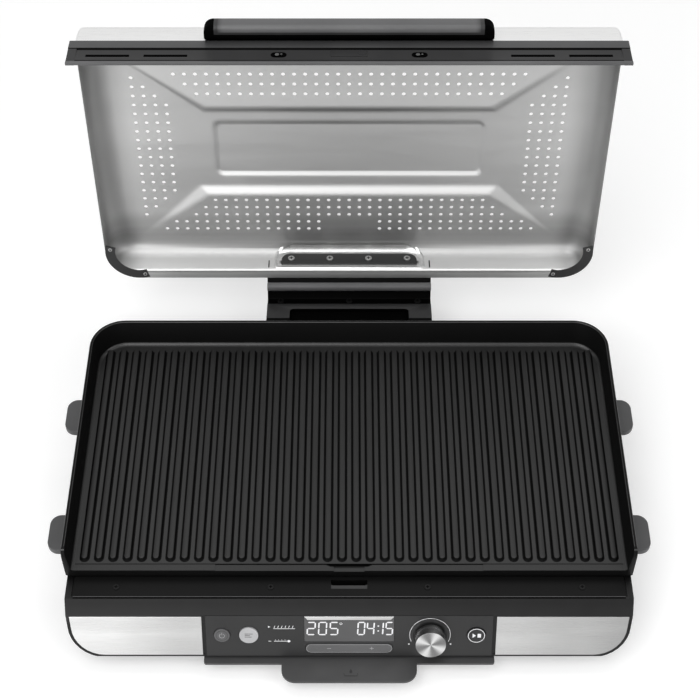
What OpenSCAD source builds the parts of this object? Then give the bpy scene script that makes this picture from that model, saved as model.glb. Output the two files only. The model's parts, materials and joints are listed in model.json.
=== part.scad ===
// Electric indoor grill with a hinged perforated lid, standing open.
// X is to the right, Y to the back, Z up. The table is at Z = 0, and the origin is below the middle
// of the open grill's outline. Heights are worked out from the rim of the grill plate, and lengths
// in depth from the plate's rear edge. The lid is drawn closed and then turned open about its pin.

/* [Grill plate] */
// Width of the plate over its rim
plate_w = 500; // [480:1:520]
// Depth of the plate from its rear edge to its open front edge
plate_d = 267; // [262:1:272]
// Height of the plate's rim above the table
rim_h = 112; // [111:0.5:116]
// Flat land on top of the rim
rim_land = 3; // [2.5:0.5:5]
// Radius of the two rear corners of the rim
plate_corner_r = 32; // [24:1:40]
// Depth from the rim to the floor between the ribs
basin_depth = 28.5; // [26:0.5:29]
// How far the plate's walls lean in from rim to floor
wall_lean = 9; // [5:0.5:12]
// Thickness of the plate's floor
plate_t = 4.5; // [4:0.25:5]
// Distance from rib to rib
rib_pitch = 12.5; // [12:0.1:12.6]
// Width of a rib
rib_w = 6.2; // [4:0.1:7]
// Height of a rib
rib_h = 3.5; // [2.5:0.1:4]
// Flat strip ahead of the ribs
front_strip = 10; // [8:0.5:16]
// Width of the drain notch in the front edge
notch_w = 27; // [20:1:36]
// Reach of each lift tab beyond the rim
tab_reach = 20; // [16:0.5:24]
// Length of each lift tab along the side
tab_l = 38; // [30:1:44]
// Thickness of a lift tab
tab_t = 7; // [5:0.5:8]

/* [Base] */
// How far the body stands out beyond the plate at each side
base_out = 2; // [1:0.5:6]
// Radius of the body's lower side corners
base_round = 31; // [26:1:34]
// How far the body's sides draw in below the upper edge
base_tuck = 4.5; // [2:0.5:6]
// Height of the body's upper edge below the rim
base_drop = 37; // [36.5:0.25:38]
// Height of the gap between the body and the table
belly_h = 20; // [19:0.5:21]
// Wall thickness of the moulded body
wall = 2.5; // [2:0.1:3]
// Radius of a rubber foot
foot_r = 11; // [8:0.5:13]
// Height of a rubber foot
foot_h = 10; // [8:0.5:12]

/* [Front and controls] */
// Width of the dark control fascia
fascia_w = 252.8; // [240:1:256]
// Lean of the front panel from the vertical, in degrees
panel_lean = 22; // [20:0.5:24]
// Length of the front panel down its slope
panel_l = 45.3; // [45:0.1:46.5]
// Width of the display window
lens_w = 79; // [70:1:80]
// Height of the display window
lens_h = 28.4; // [22:0.2:29]
// Radius of the dial's metal cap
dial_r = 13.35; // [11:0.1:14]
// Height of the dial's face above the fascia
dial_h = 14.5; // [12:0.5:18]
// Radius of the power button
power_r = 6.95; // [5:0.1:8]
// Radius of the mode button
mode_r = 8.45; // [7:0.1:9.5]
// Radius of the start button
start_r = 8.1; // [7:0.1:9.5]
// Travel of the three buttons
press = 1; // [0.6:0.1:1.4]

/* [Drip tray] */
// Width of the tray's front lip
lip_w = 258; // [250:1:264]
// Width of the pull tab
pull_w = 120; // [100:1:140]
// Reach of the pull tab ahead of the lip
pull_reach = 18; // [14:0.5:22]
// Depth of the tray from the fascia to its rear wall
tray_d = 201; // [180:1:215]
// Height of the tray
tray_h = 13.5; // [11:0.5:14]

/* [Lid] */
// How far the lid's walls stand in from the plate's sides
lid_in = 1; // [0:0.5:4]
// Depth of the lid from its rear edge to the front of its skirt
lid_d = 286; // [284:0.5:287]
// Height of the pan above its flange
lid_h = 31; // [29:0.5:33]
// Thickness of the lid's sheet steel
sheet = 1.2; // [1:0.1:1.5]
// Space between the closed lid and the plate's rim
lid_gap = 2; // [2:0.1:3]
// Angle from closed to open, in degrees
open_angle = 95.3; // [92:0.1:96]
// Radius of the perforations
hole_r = 1.95; // [1.5:0.05:2.4]
// Distance between perforations
hole_pitch = 10.41; // [10.2:0.01:10.6]
// Depth of the embossed panels in the lid
emboss = 3.2; // [2:0.1:4]
// Drop of the front skirt below the flange
skirt_drop = 34.5; // [32:0.5:38]
// Thickness of the front skirt
skirt_t = 9; // [7:0.5:10]
// Width of the handle
handle_w = 262; // [230:1:280]
// Reach of the handle ahead of the lid's front wall
handle_reach = 20; // [18:0.5:26]
// Width of the hinge arm
arm_w = 169.4; // [160:1:176]
// Radius of the hinge pin
pin_r = 4; // [3:0.1:4.5]

/* [Hidden] */
$fn = 48;

// Small clearances that the fits share
seat_gap = 0.3;
slide_gap = 0.6;
button_gap = 0.3;
bore_gap = 0.05;
over = 1;

// Widths that follow the plate
base_w = plate_w + 2 * base_out;
lid_w = plate_w - 2 * lid_in;
rib_count = 2 * floor((plate_w / 2 - rim_land - wall_lean - 3 - rib_w / 2) / rib_pitch + 0.5);

// The hinge axis, behind and below the plate's rear edge
axis_back = 27.9;
axis_drop = 63.3;

// The lid's rearmost point when open sits on its front fillet
lid_fillet = 10;
fillet_y = axis_back + (-(lid_d - lid_fillet) - axis_back) * cos(open_angle)
    + (lid_gap + lid_h - lid_fillet + axis_drop) * sin(open_angle);
rear_reach = fillet_y + lid_fillet;
lip_front = plate_d + 56;
front_reach = lip_front + pull_reach;
plate_back = (front_reach - rear_reach) / 2;
plate_front = plate_back - plate_d;

axis_y = plate_back + axis_back;
axis_z = rim_h - axis_drop;
base_top = rim_h - base_drop;
base_back = plate_back + 2;
base_round_z = belly_h + base_round;

// The front housing steps down from the plate's edge to the trough, then slopes to the panel
joint_y = plate_front + 9;
ridge_y = plate_front + 1.5;
deck_z = base_top - 4.4;
trough_y = plate_front - 19.8;
lip_z = base_top - 2.5;
lip_y = plate_front - 22;
panel_y = plate_front - 33;
panel_z = rim_h - 49;
panel_foot_y = panel_y - panel_l * sin(panel_lean);
panel_foot_z = panel_z - panel_l * cos(panel_lean);
trough_w = base_w - 18;
panel_t = 1.2;

// Places on the panel: across, and down its slope
button_down = 21;
power_x = -fascia_w / 2 + 14.4;
mode_x = -fascia_w / 2 + 38;
start_x = fascia_w / 2 - 14.4;
dial_x = fascia_w / 2 - 55.2;
bar_w = lens_w - 2.4;
bar_h = 9;
peg_x = bar_w / 2 - 9.8;
bar_down = 35.5;
fascia_t = 1.5;
fascia_proud = 0.6;
board_drop = 12.5;
board_t = 1.6;
board_h = panel_l - 7.3;
board_x = fascia_w / 2 - 5.4;
board_xs = [-board_x + 17, board_x - 71, board_x - 21];
board_ys = [-7, -34];
shaft_r = 3;
ring_r = 17.25;

// The tray hangs below the body in two rails
tray_w = lip_w - 14;
tray_top = belly_h - slide_gap;
tray_front = plate_front - 46;
tray_wall = 2;
tray_flange = 4;
rail_t = 3;
chute_x = 16;
chute_y = plate_front - 7;
chute_d = 9;

// Inside the body
reflector_z = base_top - 13;
element_z = reflector_z + 8;
element_r = 3.5;
post_x = base_w / 2 - 56;

// The hinge
hub_r = 13;
ear_t = 16;
ear_gap = 0.5;
ear_x = arm_w / 2 + ear_gap;
spring_x0 = 28;
spring_x1 = 62;
flange_back = 9.8;

// The lid, closed: its flange lies at this height
lid_z = rim_h + lid_gap;
lid_side_r = 22;
lid_rear_r = 15;
guard_t = 1.4;
face_x = lid_w / 2 - 29;
face_w0 = 30;
face_w1 = lid_d - 24;
pocket_w = arm_w - 19.4;
pocket_top = 28;

// Points along a round corner, from one angle to another
function arc(x, y, r, a0, a1, n = 8) =
    [for (i = [0:n]) [x + r * cos(a0 + (a1 - a0) * i / n), y + r * sin(a0 + (a1 - a0) * i / n)]];

// An outline seen from above, with its own radius for the front and the rear corners
module plan(w, y0, y1, rf, rr) {
    polygon(concat(
        arc(w / 2 - rr, y1 - rr, rr, 0, 90),
        arc(-w / 2 + rr, y1 - rr, rr, 90, 180),
        arc(-w / 2 + rf, y0 + rf, rf, 180, 270),
        arc(w / 2 - rf, y0 + rf, rf, 270, 360)
    ));
}

// Pushes an outline drawn as depth and height along X, over the stated width
module across(w) {
    translate([-w / 2, 0, 0]) rotate([90, 0, 90]) linear_extrude(w) children();
}

// Pushes an outline drawn as width and height along Y, from y0 to y1
module along(y0, y1) {
    translate([0, y1, 0]) rotate([90, 0, 0]) linear_extrude(y1 - y0) children();
}

// Places a child in the plane of the front panel: x across, y up the slope, z outward
module on_panel() {
    translate([0, panel_y, panel_z]) rotate([90 - panel_lean, 0, 0]) children();
}

// Turns a child that is drawn on the closed lid to the open pose
module opened() {
    translate([0, axis_y, axis_z]) rotate([-open_angle, 0, 0]) translate([0, -axis_y, -axis_z])
        children();
}

module box(x0, x1, y0, y1, z0, z1) {
    translate([x0, y0, z0]) cube([x1 - x0, y1 - y0, z1 - z0]);
}

module both_sides() {
    children();
    mirror([1, 0, 0]) children();
}

// A round-head screw with its shank along -Z from the head's seat
module screw(head_r, head_h, shank_r, shank_l) {
    cylinder(r = head_r, h = head_h);
    translate([0, 0, -shank_l]) cylinder(r = shank_r, h = shank_l + head_h / 2);
}

// The body seen from the front, drawn inward by the stated amount and closed at the stated height
module body_front(inset, top) {
    round_r = base_round - inset;
    centre = base_w / 2 - base_tuck - base_round;
    polygon(concat(
        [[base_w / 2 - inset, top]],
        [[-base_w / 2 + inset, top]],
        arc(-centre, base_round_z, round_r, 180, 270),
        arc(centre, base_round_z, round_r, 270, 360)
    ));
}

module base_tub() color("#262626") {
    flange_w = 9;
    difference() {
        intersection() {
            along(joint_y, base_back) body_front(0, base_top);
            linear_extrude(rim_h) plan(base_w, joint_y, base_back, 0.01, plate_corner_r + 2);
        }
        intersection() {
            along(joint_y - over, base_back - wall) body_front(wall, base_top - wall);
            linear_extrude(rim_h)
                plan(base_w - 2 * wall, joint_y - over, base_back - wall, 0.01, plate_corner_r);
        }
        translate([0, 0, base_top - wall - over]) linear_extrude(wall + 2 * over)
            plan(base_w - 2 * flange_w, joint_y - 2 * over, base_back - flange_w, 0.01,
                plate_corner_r - 7);
        // opening for the appliance inlet
        box(inlet_x0, inlet_x1, base_back - wall - over, base_back + over, inlet_z0, inlet_z1);
    }
    // posts for the reflector, and pads for the feet
    for (sx = [-1, 1], y = post_ys)
        translate([sx * post_x, y, belly_h + wall]) cylinder(r = 6, h = reflector_z - belly_h - wall);
    for (sx = [-1, 1], y = foot_ys)
        translate([sx * post_x, y, foot_h]) cylinder(r = foot_r + 3, h = belly_h - foot_h);
}

inlet_x0 = base_w / 2 - 112;
inlet_x1 = inlet_x0 + 42;
inlet_z0 = belly_h + 13;
inlet_z1 = belly_h + 37;
post_ys = [joint_y + 40, plate_back - 50];
foot_ys = [joint_y + 16, plate_back - 17];

// The front housing seen from the side, outside and inside
module housing_side() {
    polygon([
        [joint_y, base_top],
        [ridge_y, base_top],
        [ridge_y, deck_z],
        [trough_y, deck_z],
        [trough_y, lip_z],
        [lip_y, lip_z],
        [panel_y, panel_z],
        [panel_foot_y, panel_foot_z],
        [panel_foot_y + 1.5, belly_h],
        [joint_y, belly_h]
    ]);
}

// The inner face of the panel at a height
function slope_at(z) = panel_y + wall / cos(panel_lean) - (panel_z - z) * tan(panel_lean);

module housing_hollow() {
    polygon([
        [joint_y + over, base_top - wall],
        [ridge_y + wall, base_top - wall],
        [ridge_y + wall, deck_z - wall],
        [trough_y - 3, deck_z - wall],
        [slope_at(panel_z - wall), panel_z - wall],
        [slope_at(belly_h + wall), belly_h + wall],
        [joint_y + over, belly_h + wall]
    ]);
}

module front_housing() color("#2b2b2b") {
    difference() {
        intersection() {
            union() {
                across(base_w) housing_side();
                both_sides() box(trough_w / 2 + 0.5, base_w / 2, lip_y + 0.5, joint_y, deck_z - 5, lip_z);
            }
            along(panel_foot_y - over, joint_y) body_front(0, rim_h);
        }
        intersection() {
            across(base_w) housing_hollow();
            along(panel_foot_y - over, joint_y + over) body_front(wall, rim_h);
        }
        // recesses for the fascia and the trim plates
        on_panel() box(-fascia_w / 2 - 0.2, fascia_w / 2 + 0.2, -panel_l + 0.8, -0.3,
            fascia_proud - fascia_t, 5);
        intersection() {
            on_panel() both_sides() box(fascia_w / 2 + 1, base_w, -panel_l + 1.4, -1.3,
                fascia_proud - fascia_t, 5);
            along(panel_foot_y - over, joint_y) body_front(2.8, rim_h);
        }
        // window and control openings
        on_panel() {
            box(-lens_w / 2 + 2, lens_w / 2 - 2, -lens_h + 2, -4, -5, 5);
            control_openings(button_gap + 0.2, 10);
        }
        // drain opening over the chute, and its way out through the floor
        box(-chute_x, chute_x, chute_y - chute_d / 2, chute_y + chute_d / 2, 0, rim_h);
        for (x = trough_screw_xs) translate([x, trough_screw_y, deck_z - 5]) cylinder(r = 1.5, h = 9);
    }
    // bosses that carry the control board
    on_panel() for (x = board_xs, y = board_ys)
        translate([x, y, -board_drop + board_t]) cylinder(r = 2.5, h = board_drop - board_t - wall + 0.5);
}

trough_screw_out = trough_w / 2 - 38;
trough_screw_in = 69;
trough_screw_xs = [-trough_screw_out, -trough_screw_in, trough_screw_in, trough_screw_out];
trough_screw_y = plate_front - 10;

// The openings that the controls pass through, each larger than its control by the clearance
module control_openings(c, d) {
    translate([power_x, -button_down, -d / 2]) cylinder(r = power_r + c, h = d);
    translate([mode_x, -button_down, -d / 2]) cylinder(r = mode_r + c, h = d);
    translate([start_x, -button_down, -d / 2]) cylinder(r = start_r + c, h = d);
    translate([dial_x, -button_down, -d / 2]) cylinder(r = shaft_r + 0.7 + c, h = d);
    translate([0, -bar_down, -d / 2]) linear_extrude(d) bar_outline(c + 0.1);
}

module bar_outline(c) {
    square([bar_w - bar_h, bar_h + 2 * c], center = true);
    for (sx = [-1, 1]) translate([sx * (bar_w - bar_h) / 2, 0]) circle(r = bar_h / 2 + c);
}

module trough_panel() color("#1d1d1d") difference() {
    box(-trough_w / 2, trough_w / 2, trough_y + 0.4, ridge_y - 0.4, deck_z, deck_z + panel_t);
    box(-chute_x, chute_x, chute_y - chute_d / 2, chute_y + chute_d / 2, deck_z - over, deck_z + 5);
    for (x = trough_screw_xs) translate([x, trough_screw_y, deck_z - over]) cylinder(r = 1.5, h = 5);
}

module trough_screws() color("#151515")
    for (x = trough_screw_xs)
        translate([x, trough_screw_y, deck_z + panel_t]) screw(2.8, 1, 1.5, 6);

module trim_plate(side) {
    x_in = fascia_w / 2 + 3.1;
    intersection() {
        on_panel() box(side > 0 ? x_in : -base_w, side > 0 ? base_w : -x_in,
            -panel_l + 1.6, -1.5, fascia_proud - fascia_t, fascia_proud);
        along(panel_foot_y - 2, joint_y) body_front(3, rim_h);
    }
}

module trim_plate_left() color("#d9d9d9") trim_plate(-1);

module trim_plate_right() color("#c8c8c8") trim_plate(1);

module control_fascia() color("#414141") on_panel() difference() {
    box(-fascia_w / 2, fascia_w / 2, -panel_l + 1, -0.5, fascia_proud - fascia_t, fascia_proud);
    box(-lens_w / 2 - 0.1, lens_w / 2 + 0.1, -lens_h - 0.1, over, -5, 5);
    control_openings(button_gap, 6);
}

module display_window() color("#666666") on_panel()
    box(-lens_w / 2, lens_w / 2, -lens_h, -0.6, fascia_proud - fascia_t, fascia_proud + 0.1);

module display_strip() color("#c4c4c4") on_panel() translate([0, -4.4, fascia_proud + 0.1])
    linear_extrude(0.5) polygon([
        [-lens_w / 2 + 3, 0], [lens_w / 2 - 3, 0], [lens_w / 2, 3.6], [-lens_w / 2, 3.6]
    ]);

module display_module() color("#303030") on_panel()
    box(-lens_w / 2 + 3, lens_w / 2 - 3, -lens_h + 3, -5, -board_drop + board_t,
        fascia_proud - fascia_t - 0.1);

module dial_ring() color("#353535") on_panel() translate([dial_x, -button_down, fascia_proud])
    difference() {
        cylinder(r = ring_r, h = 1);
        translate([0, 0, -over]) cylinder(r = dial_r + 1.2, h = 5);
    }

module control_board() color("#2f5a35") on_panel() difference() {
    box(-board_x, board_x, -board_h, -4, -board_drop, -board_drop + board_t);
    for (x = board_xs, y = board_ys)
        translate([x, y, -board_drop - over]) cylinder(r = 1.2, h = 5);
}

// The push switches under the three buttons and the ends of the selector bar
module button_switches() color("#202020") on_panel() {
    for (x = [power_x, mode_x, start_x]) translate([x, -button_down, -board_drop + board_t]) {
        translate([-3, -3, 0]) cube([6, 6, 2.2]);
        cylinder(r = 1.6, h = 2.2 + 0.8);
    }
    for (x = [-peg_x, peg_x]) translate([x, -bar_down, -board_drop + board_t]) {
        translate([-3, -2.4, 0]) cube([6, 4.8, 1.2]);
        cylinder(r = 1.6, h = 1.2 + 0.6);
    }
}

module dial_encoder() color("#8a8a8a") on_panel()
    translate([dial_x, -button_down, -board_drop + board_t]) difference() {
        translate([-6.5, -6.5, 0]) cube([13, 13, 7]);
        translate([0, 0, 3]) cylinder(r = shaft_r + bore_gap, h = 9);
    }

module dial_shaft() color("#b5b5b5") on_panel()
    translate([dial_x, -button_down, -board_drop + board_t + 3.5])
        cylinder(r = shaft_r, h = board_drop - board_t - 3.5 + fascia_proud + 8);

module dial_core() color("#1c1c1c") on_panel() translate([dial_x, -button_down, fascia_proud + 0.4])
    difference() {
        cylinder(r = dial_r - 1.1, h = dial_h - 1.6);
        translate([0, 0, -over]) cylinder(r = shaft_r, h = 8.6);
    }

module dial_cap() color("#cfcfcf") on_panel() translate([dial_x, -button_down, fascia_proud + 2])
    difference() {
        cylinder(r = dial_r, h = dial_h - 2);
        translate([0, 0, -over]) cylinder(r = dial_r - 1.1, h = dial_h - 3.2 + over);
    }

// A push button: its cap stands a little proud and its stem reaches down to its switch
module push_button(x, r, stand) on_panel() translate([x, -button_down, 0]) {
    translate([0, 0, -4.5]) cylinder(r = r, h = 4.5 + fascia_proud + stand);
    translate([0, 0, -board_drop + board_t + 3 + press + 0.3])
        cylinder(r = 2.5, h = board_drop - board_t - 3 - press - 0.3 - 4.5 + over);
}

module power_button() color("#777777") push_button(power_x, power_r, 1.2);

module mode_button() color("#bdbdbd") push_button(mode_x, mode_r, 1.2);

module start_button() color("#3a3a3a") push_button(start_x, start_r, 1.2);

module selector_bar() color("#7d7d7d") on_panel() translate([0, -bar_down, 0]) {
    translate([0, 0, -3]) linear_extrude(3 + fascia_proud + 0.8) bar_outline(0);
    for (x = [-peg_x, peg_x]) translate([x, 0, -board_drop + board_t + 1.8 + 1.2])
        cylinder(r = 2, h = board_drop - board_t - 3 - 3 + over);
}

module drain_chute() color("#2a2a2a") {
    chute_t = 1.5;
    z0 = belly_h - 0.2;
    z1 = deck_z - wall;
    difference() {
        box(-chute_x - chute_t, chute_x + chute_t, chute_y - chute_d / 2 - chute_t,
            chute_y + chute_d / 2 + chute_t, belly_h + wall, z1);
        box(-chute_x, chute_x, chute_y - chute_d / 2, chute_y + chute_d / 2, z0, z1 + over);
    }
}

module reflector_pan() color("#b9b9b9") difference() {
    reflector_w = 2 * (base_w / 2 - 16);
    linear_rim = 9;
    translate([0, 0, reflector_z]) linear_extrude(linear_rim)
        plan(reflector_w, joint_y + 4, plate_back - 14, 4, 22);
    translate([0, 0, reflector_z + 1]) linear_extrude(linear_rim)
        plan(reflector_w - 2, joint_y + 5, plate_back - 15, 3, 21);
    for (sx = [-1, 1], y = post_ys)
        translate([sx * post_x, y, reflector_z - over]) cylinder(r = 2, h = 4);
    translate([0, probe_y, reflector_z - over]) cylinder(r = 6.2, h = 4);
}

probe_y = (plate_back + plate_front) / 2;

// One tube bent into four long runs, joined by round bends, with both ends at the right
element_runs = 4;
element_x = base_w / 2 - 62;
element_pitch = 52;

module heating_element() color("#6d6d6d") translate([0, probe_y, element_z]) {
    y0 = -element_pitch * (element_runs - 1) / 2;
    for (i = [0:element_runs - 1])
        translate([-element_x, y0 + i * element_pitch, 0]) rotate([0, 90, 0])
            cylinder(r = element_r, h = 2 * element_x);
    for (i = [0:element_runs - 2]) {
        sx = i % 2 == 0 ? -1 : 1;
        translate([sx * element_x, y0 + (i + 0.5) * element_pitch, 0])
            rotate([0, 0, sx > 0 ? -90 : 90])
                rotate_extrude(angle = 180) translate([element_pitch / 2, 0]) circle(r = element_r);
    }
}

module element_clips() color("#9a9a9a") translate([0, probe_y, reflector_z + 1])
    for (x = [80 - element_x, element_x - 80], i = [0:element_runs - 1])
        translate([x, (i - (element_runs - 1) / 2) * element_pitch, 0])
            difference() {
                translate([-5, -6, 0]) cube([10, 12, element_z - reflector_z - 1 + element_r + 0.8]);
                translate([-6, 0, element_z - reflector_z - 1]) rotate([0, 90, 0])
                    cylinder(r = element_r + 0.05, h = 12);
            }

module plate_probe() color("#a0a0a0") translate([0, probe_y, reflector_z - 6]) {
    cylinder(r = 6, h = 12);
    cylinder(r = 4, h = rim_h - basin_depth - plate_t - seat_gap - reflector_z + 6);
}

module thermal_fuse() color("#c9c2a8") translate([60, probe_y, reflector_z + 1 + 2.5])
    rotate([0, 90, 0]) translate([0, 0, -12]) cylinder(r = 2.5, h = 24);

module power_board() color("#2f5a35") {
    x0 = inlet_x0 - 80;
    y0 = plate_back - 100;
    box(x0, x0 + 96, y0, y0 + 60, belly_h + wall + 5, belly_h + wall + 6.6);
    for (dx = [6, 90], dy = [6, 54])
        translate([x0 + dx, y0 + dy, belly_h + wall]) cylinder(r = 3, h = 5);
    box(x0 + 12, x0 + 38, y0 + 12, y0 + 34, belly_h + wall + 6.6, belly_h + wall + 22);
    translate([x0 + 62, y0 + 40, belly_h + wall + 6.6]) cylinder(r = 7, h = 18);
}

// Leads along the body's floor, from the inlet to the power board and on to the control board
module wiring_harness() color("#5a2020") {
    lead_r = 2;
    z = belly_h + wall + lead_r;
    for (y = [0, 5]) translate([inlet_x0 - 20 + y, plate_back - 38, z]) rotate([-90, 0, 0])
        cylinder(r = lead_r, h = 26);
    for (x = [-70, -65, -60]) translate([x, joint_y - 20, z]) rotate([-90, 0, 0])
        cylinder(r = lead_r, h = plate_d - 60);
}

module mains_inlet() color("#181818") {
    depth = 22;
    difference() {
        union() {
            box(inlet_x0 + 0.2, inlet_x1 - 0.2, base_back - depth, base_back, inlet_z0 + 0.2,
                inlet_z1 - 0.2);
            box(inlet_x0 - 4, inlet_x1 + 4, base_back, base_back + 2, inlet_z0 - 4, inlet_z1 + 4);
        }
        box(inlet_x0 + 5, inlet_x1 - 5, base_back - depth + 4, base_back + 5, inlet_z0 + 5,
            inlet_z1 - 5);
    }
    for (dx = [-7, 0, 7]) translate([(inlet_x0 + inlet_x1) / 2 + dx - 1,
        base_back - depth + 3, (inlet_z0 + inlet_z1) / 2 - 2]) cube([2, 16, 4]);
}

module tray_rails() color("#242424") both_sides() {
    flange_x = tray_w / 2 + tray_flange;
    box(flange_x + slide_gap, flange_x + slide_gap + rail_t, lip_y + 4, tray_front + tray_d + 26,
        tray_top - 2 - slide_gap - rail_t, belly_h);
    box(tray_w / 2 + slide_gap, flange_x + slide_gap + 1, lip_y + 4, tray_front + tray_d + 26,
        tray_top - 2 - slide_gap - rail_t, tray_top - 2 - slide_gap);
}

module rubber_feet() color("#101010")
    for (sx = [-1, 1], y = foot_ys) translate([sx * post_x, y, 0]) cylinder(r = foot_r, h = foot_h);

module base_screws() color("#8c8c8c")
    for (sx = [-1, 1], y = post_ys)
        translate([sx * post_x, y, reflector_z + 1]) screw(4, 1.6, 2, 1);

// The hinge block is bolted to the back of the body and carries the pin in two ears
module hinge_block() color("#1f1f1f") {
    block_w = 2 * (ear_x + ear_t);
    difference() {
        union() {
            both_sides() {
                translate([ear_x, axis_y, axis_z]) rotate([0, 90, 0])
                    cylinder(r = hub_r + 1, h = ear_t);
                box(ear_x, ear_x + ear_t, base_back, axis_y, axis_z - hub_r - 1, axis_z + hub_r + 1);
            }
            box(-block_w / 2, block_w / 2, base_back, base_back + 6, axis_z - hub_r - 1,
                axis_z + hub_r + 1);
        }
        translate([-block_w, axis_y, axis_z]) rotate([0, 90, 0]) cylinder(r = pin_r, h = 2 * block_w);
        for (x = block_screw_xs) translate([x, base_back + 3, axis_z]) rotate([90, 0, 0])
            cylinder(r = 2, h = 20, center = true);
    }
}

block_screw_x = ear_x - 17;
block_screw_xs = [-block_screw_x, 0.3 - block_screw_x / 3, block_screw_x / 3 - 0.3, block_screw_x];

module hinge_block_screws() color("#8c8c8c") for (x = block_screw_xs)
    translate([x, base_back + 6, axis_z]) rotate([-90, 0, 0]) screw(4, 2, 2, 6);

module hinge_pin() color("#bfbfbf") translate([-ear_x - ear_t, axis_y, axis_z]) rotate([0, 90, 0])
    cylinder(r = pin_r, h = 2 * (ear_x + ear_t));

// A round wire wound about the pin: rings of points joined into one skin
module coil_spring(r, wire_r, length, turns) {
    steps = 12;
    sides = 6;
    n = turns * steps;
    points = [for (i = [0:n], k = [0:sides - 1])
        let (a = 360 * i / steps, q = r + wire_r * cos(360 * k / sides))
            [q * cos(a), q * sin(a), length * i / n + wire_r * sin(360 * k / sides)]];
    sides_faces = [for (i = [0:n - 1], k = [0:sides - 1])
        let (a = i * sides + k, b = i * sides + (k + 1) % sides)
            [a, a + sides, b + sides, b]];
    ends = [[for (k = [0:sides - 1]) k], [for (k = [0:sides - 1]) n * sides + sides - 1 - k]];
    polyhedron(points, concat(sides_faces, ends), convexity = 10);
}

module hinge_springs() color("#a8a8a8") both_sides()
    translate([spring_x0 + 3, axis_y, axis_z]) rotate([0, 90, 0])
        coil_spring(pin_r + 2.2, 1.3, spring_x1 - spring_x0 - 6, 8);

// The plate: a shallow cast basin, open at the front, with raised ribs
module grill_plate() color("#2e2e2e") {
    floor_z = rim_h - basin_depth;
    foot_z = base_top + seat_gap;
    side_x = plate_w / 2;
    difference() {
        intersection() {
            translate([0, 0, foot_z]) linear_extrude(rim_h - foot_z)
                plan(plate_w, plate_front, plate_back, 0.01, plate_corner_r);
            across(plate_w + 2) polygon(concat(
                [[plate_back, 0], [plate_back, rim_h]],
                arc(plate_front + 8, rim_h - 8, 8, 90, 180),
                [[plate_front, 0]]
            ));
        }
        // the basin
        intersection() {
            translate([0, 0, floor_z]) linear_extrude(basin_depth + over)
                plan(plate_w - 2 * rim_land, plate_front - 60, plate_back - rim_land, 1,
                    plate_corner_r - rim_land);
            along(plate_front - over, plate_back) basin_front(floor_z);
            across(plate_w) basin_side(floor_z);
        }
        // the hollow below, which leaves a skirt to stand on
        translate([0, 0, foot_z - over]) linear_extrude(floor_z - plate_t - foot_z + over)
            plan(plate_w - 12, plate_front + 3, plate_back - 6, 1, plate_corner_r - 6);
        // the drain notch
        box(-notch_w / 2, notch_w / 2, plate_front - over, plate_front + 5.5, floor_z - 2, rim_h);
    }
    for (i = [0:rib_count - 1])
        translate([(i - (rib_count - 1) / 2) * rib_pitch, 0, floor_z - 0.2]) linear_extrude(rib_h + 0.2) {
            y0 = plate_front + front_strip + rib_w / 2;
            y1 = plate_back - 19;
            translate([-rib_w / 2, y0]) square([rib_w, y1 - y0]);
            translate([0, y0]) circle(d = rib_w, $fn = 24);
        }
}

// The basin's shape from the front and from the side: leaning walls with a round foot
module basin_front(floor_z) {
    top_x = plate_w / 2 - rim_land;
    foot_x = top_x - wall_lean;
    polygon([
        [-top_x, rim_h + over],
        [top_x, rim_h + over],
        [top_x, rim_h],
        [foot_x, floor_z + 3],
        [foot_x - 3, floor_z],
        [-foot_x + 3, floor_z],
        [-foot_x, floor_z + 3],
        [-top_x, rim_h]
    ]);
}

module basin_side(floor_z) {
    top_y = plate_back - rim_land;
    foot_y = top_y - wall_lean;
    polygon([
        [top_y, rim_h + over],
        [top_y, rim_h],
        [foot_y, floor_z + 3],
        [foot_y - 3, floor_z],
        [plate_front - over, floor_z],
        [plate_front - over, rim_h + over]
    ]);
}

tab_ys = [plate_front + 43, plate_front + 175.5];

// Four grey tabs on the sides, by which the plate is lifted out
module lift_tabs() color("#6b6b6b") both_sides() for (y = tab_ys) {
    tab_top = base_top + 3.5;
    tab_x = plate_w / 2;
    difference() {
        translate([0, y, tab_top - tab_t]) linear_extrude(tab_t) polygon(concat(
            [[tab_x, -tab_l / 2]],
            arc(tab_x + tab_reach - 10, -tab_l / 2 + 10, 10, -90, 0),
            arc(tab_x + tab_reach - 10, tab_l / 2 - 10, 10, 0, 90),
            [[tab_x, tab_l / 2]]
        ));
        box(tab_x - over, base_w / 2 + 0.8, y - tab_l, y + tab_l, 0, base_top + seat_gap);
    }
}

// The drip tray slides out forward, below the fascia
module drip_tray() color("#4a4a4a") {
    y0 = tray_front;
    y1 = tray_front + tray_d;
    z0 = tray_top - tray_h;
    difference() {
        box(-tray_w / 2, tray_w / 2, y0, y1, z0, tray_top);
        box(-tray_w / 2 + tray_wall, tray_w / 2 - tray_wall, y0 + tray_wall, y1 - tray_wall,
            z0 + tray_wall, tray_top + over);
    }
    both_sides() box(tray_w / 2 - 0.5, tray_w / 2 + tray_flange, lip_y + 6, y1, tray_top - 2, tray_top);
}

module tray_pull() color("#505050") {
    y1 = tray_front;
    z1 = tray_top - 0.3;
    front = plate_back - lip_front;
    translate([0, 0, z1 - 3]) linear_extrude(3) {
        plan(lip_w, front, y1, 2, 0.01);
        plan(pull_w, front - pull_reach, front + 1, 12, 0.01);
    }
    box(-tray_w / 2 + 4, tray_w / 2 - 4, y1 - 3, y1, tray_top - tray_h / 2, z1);
}

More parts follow.
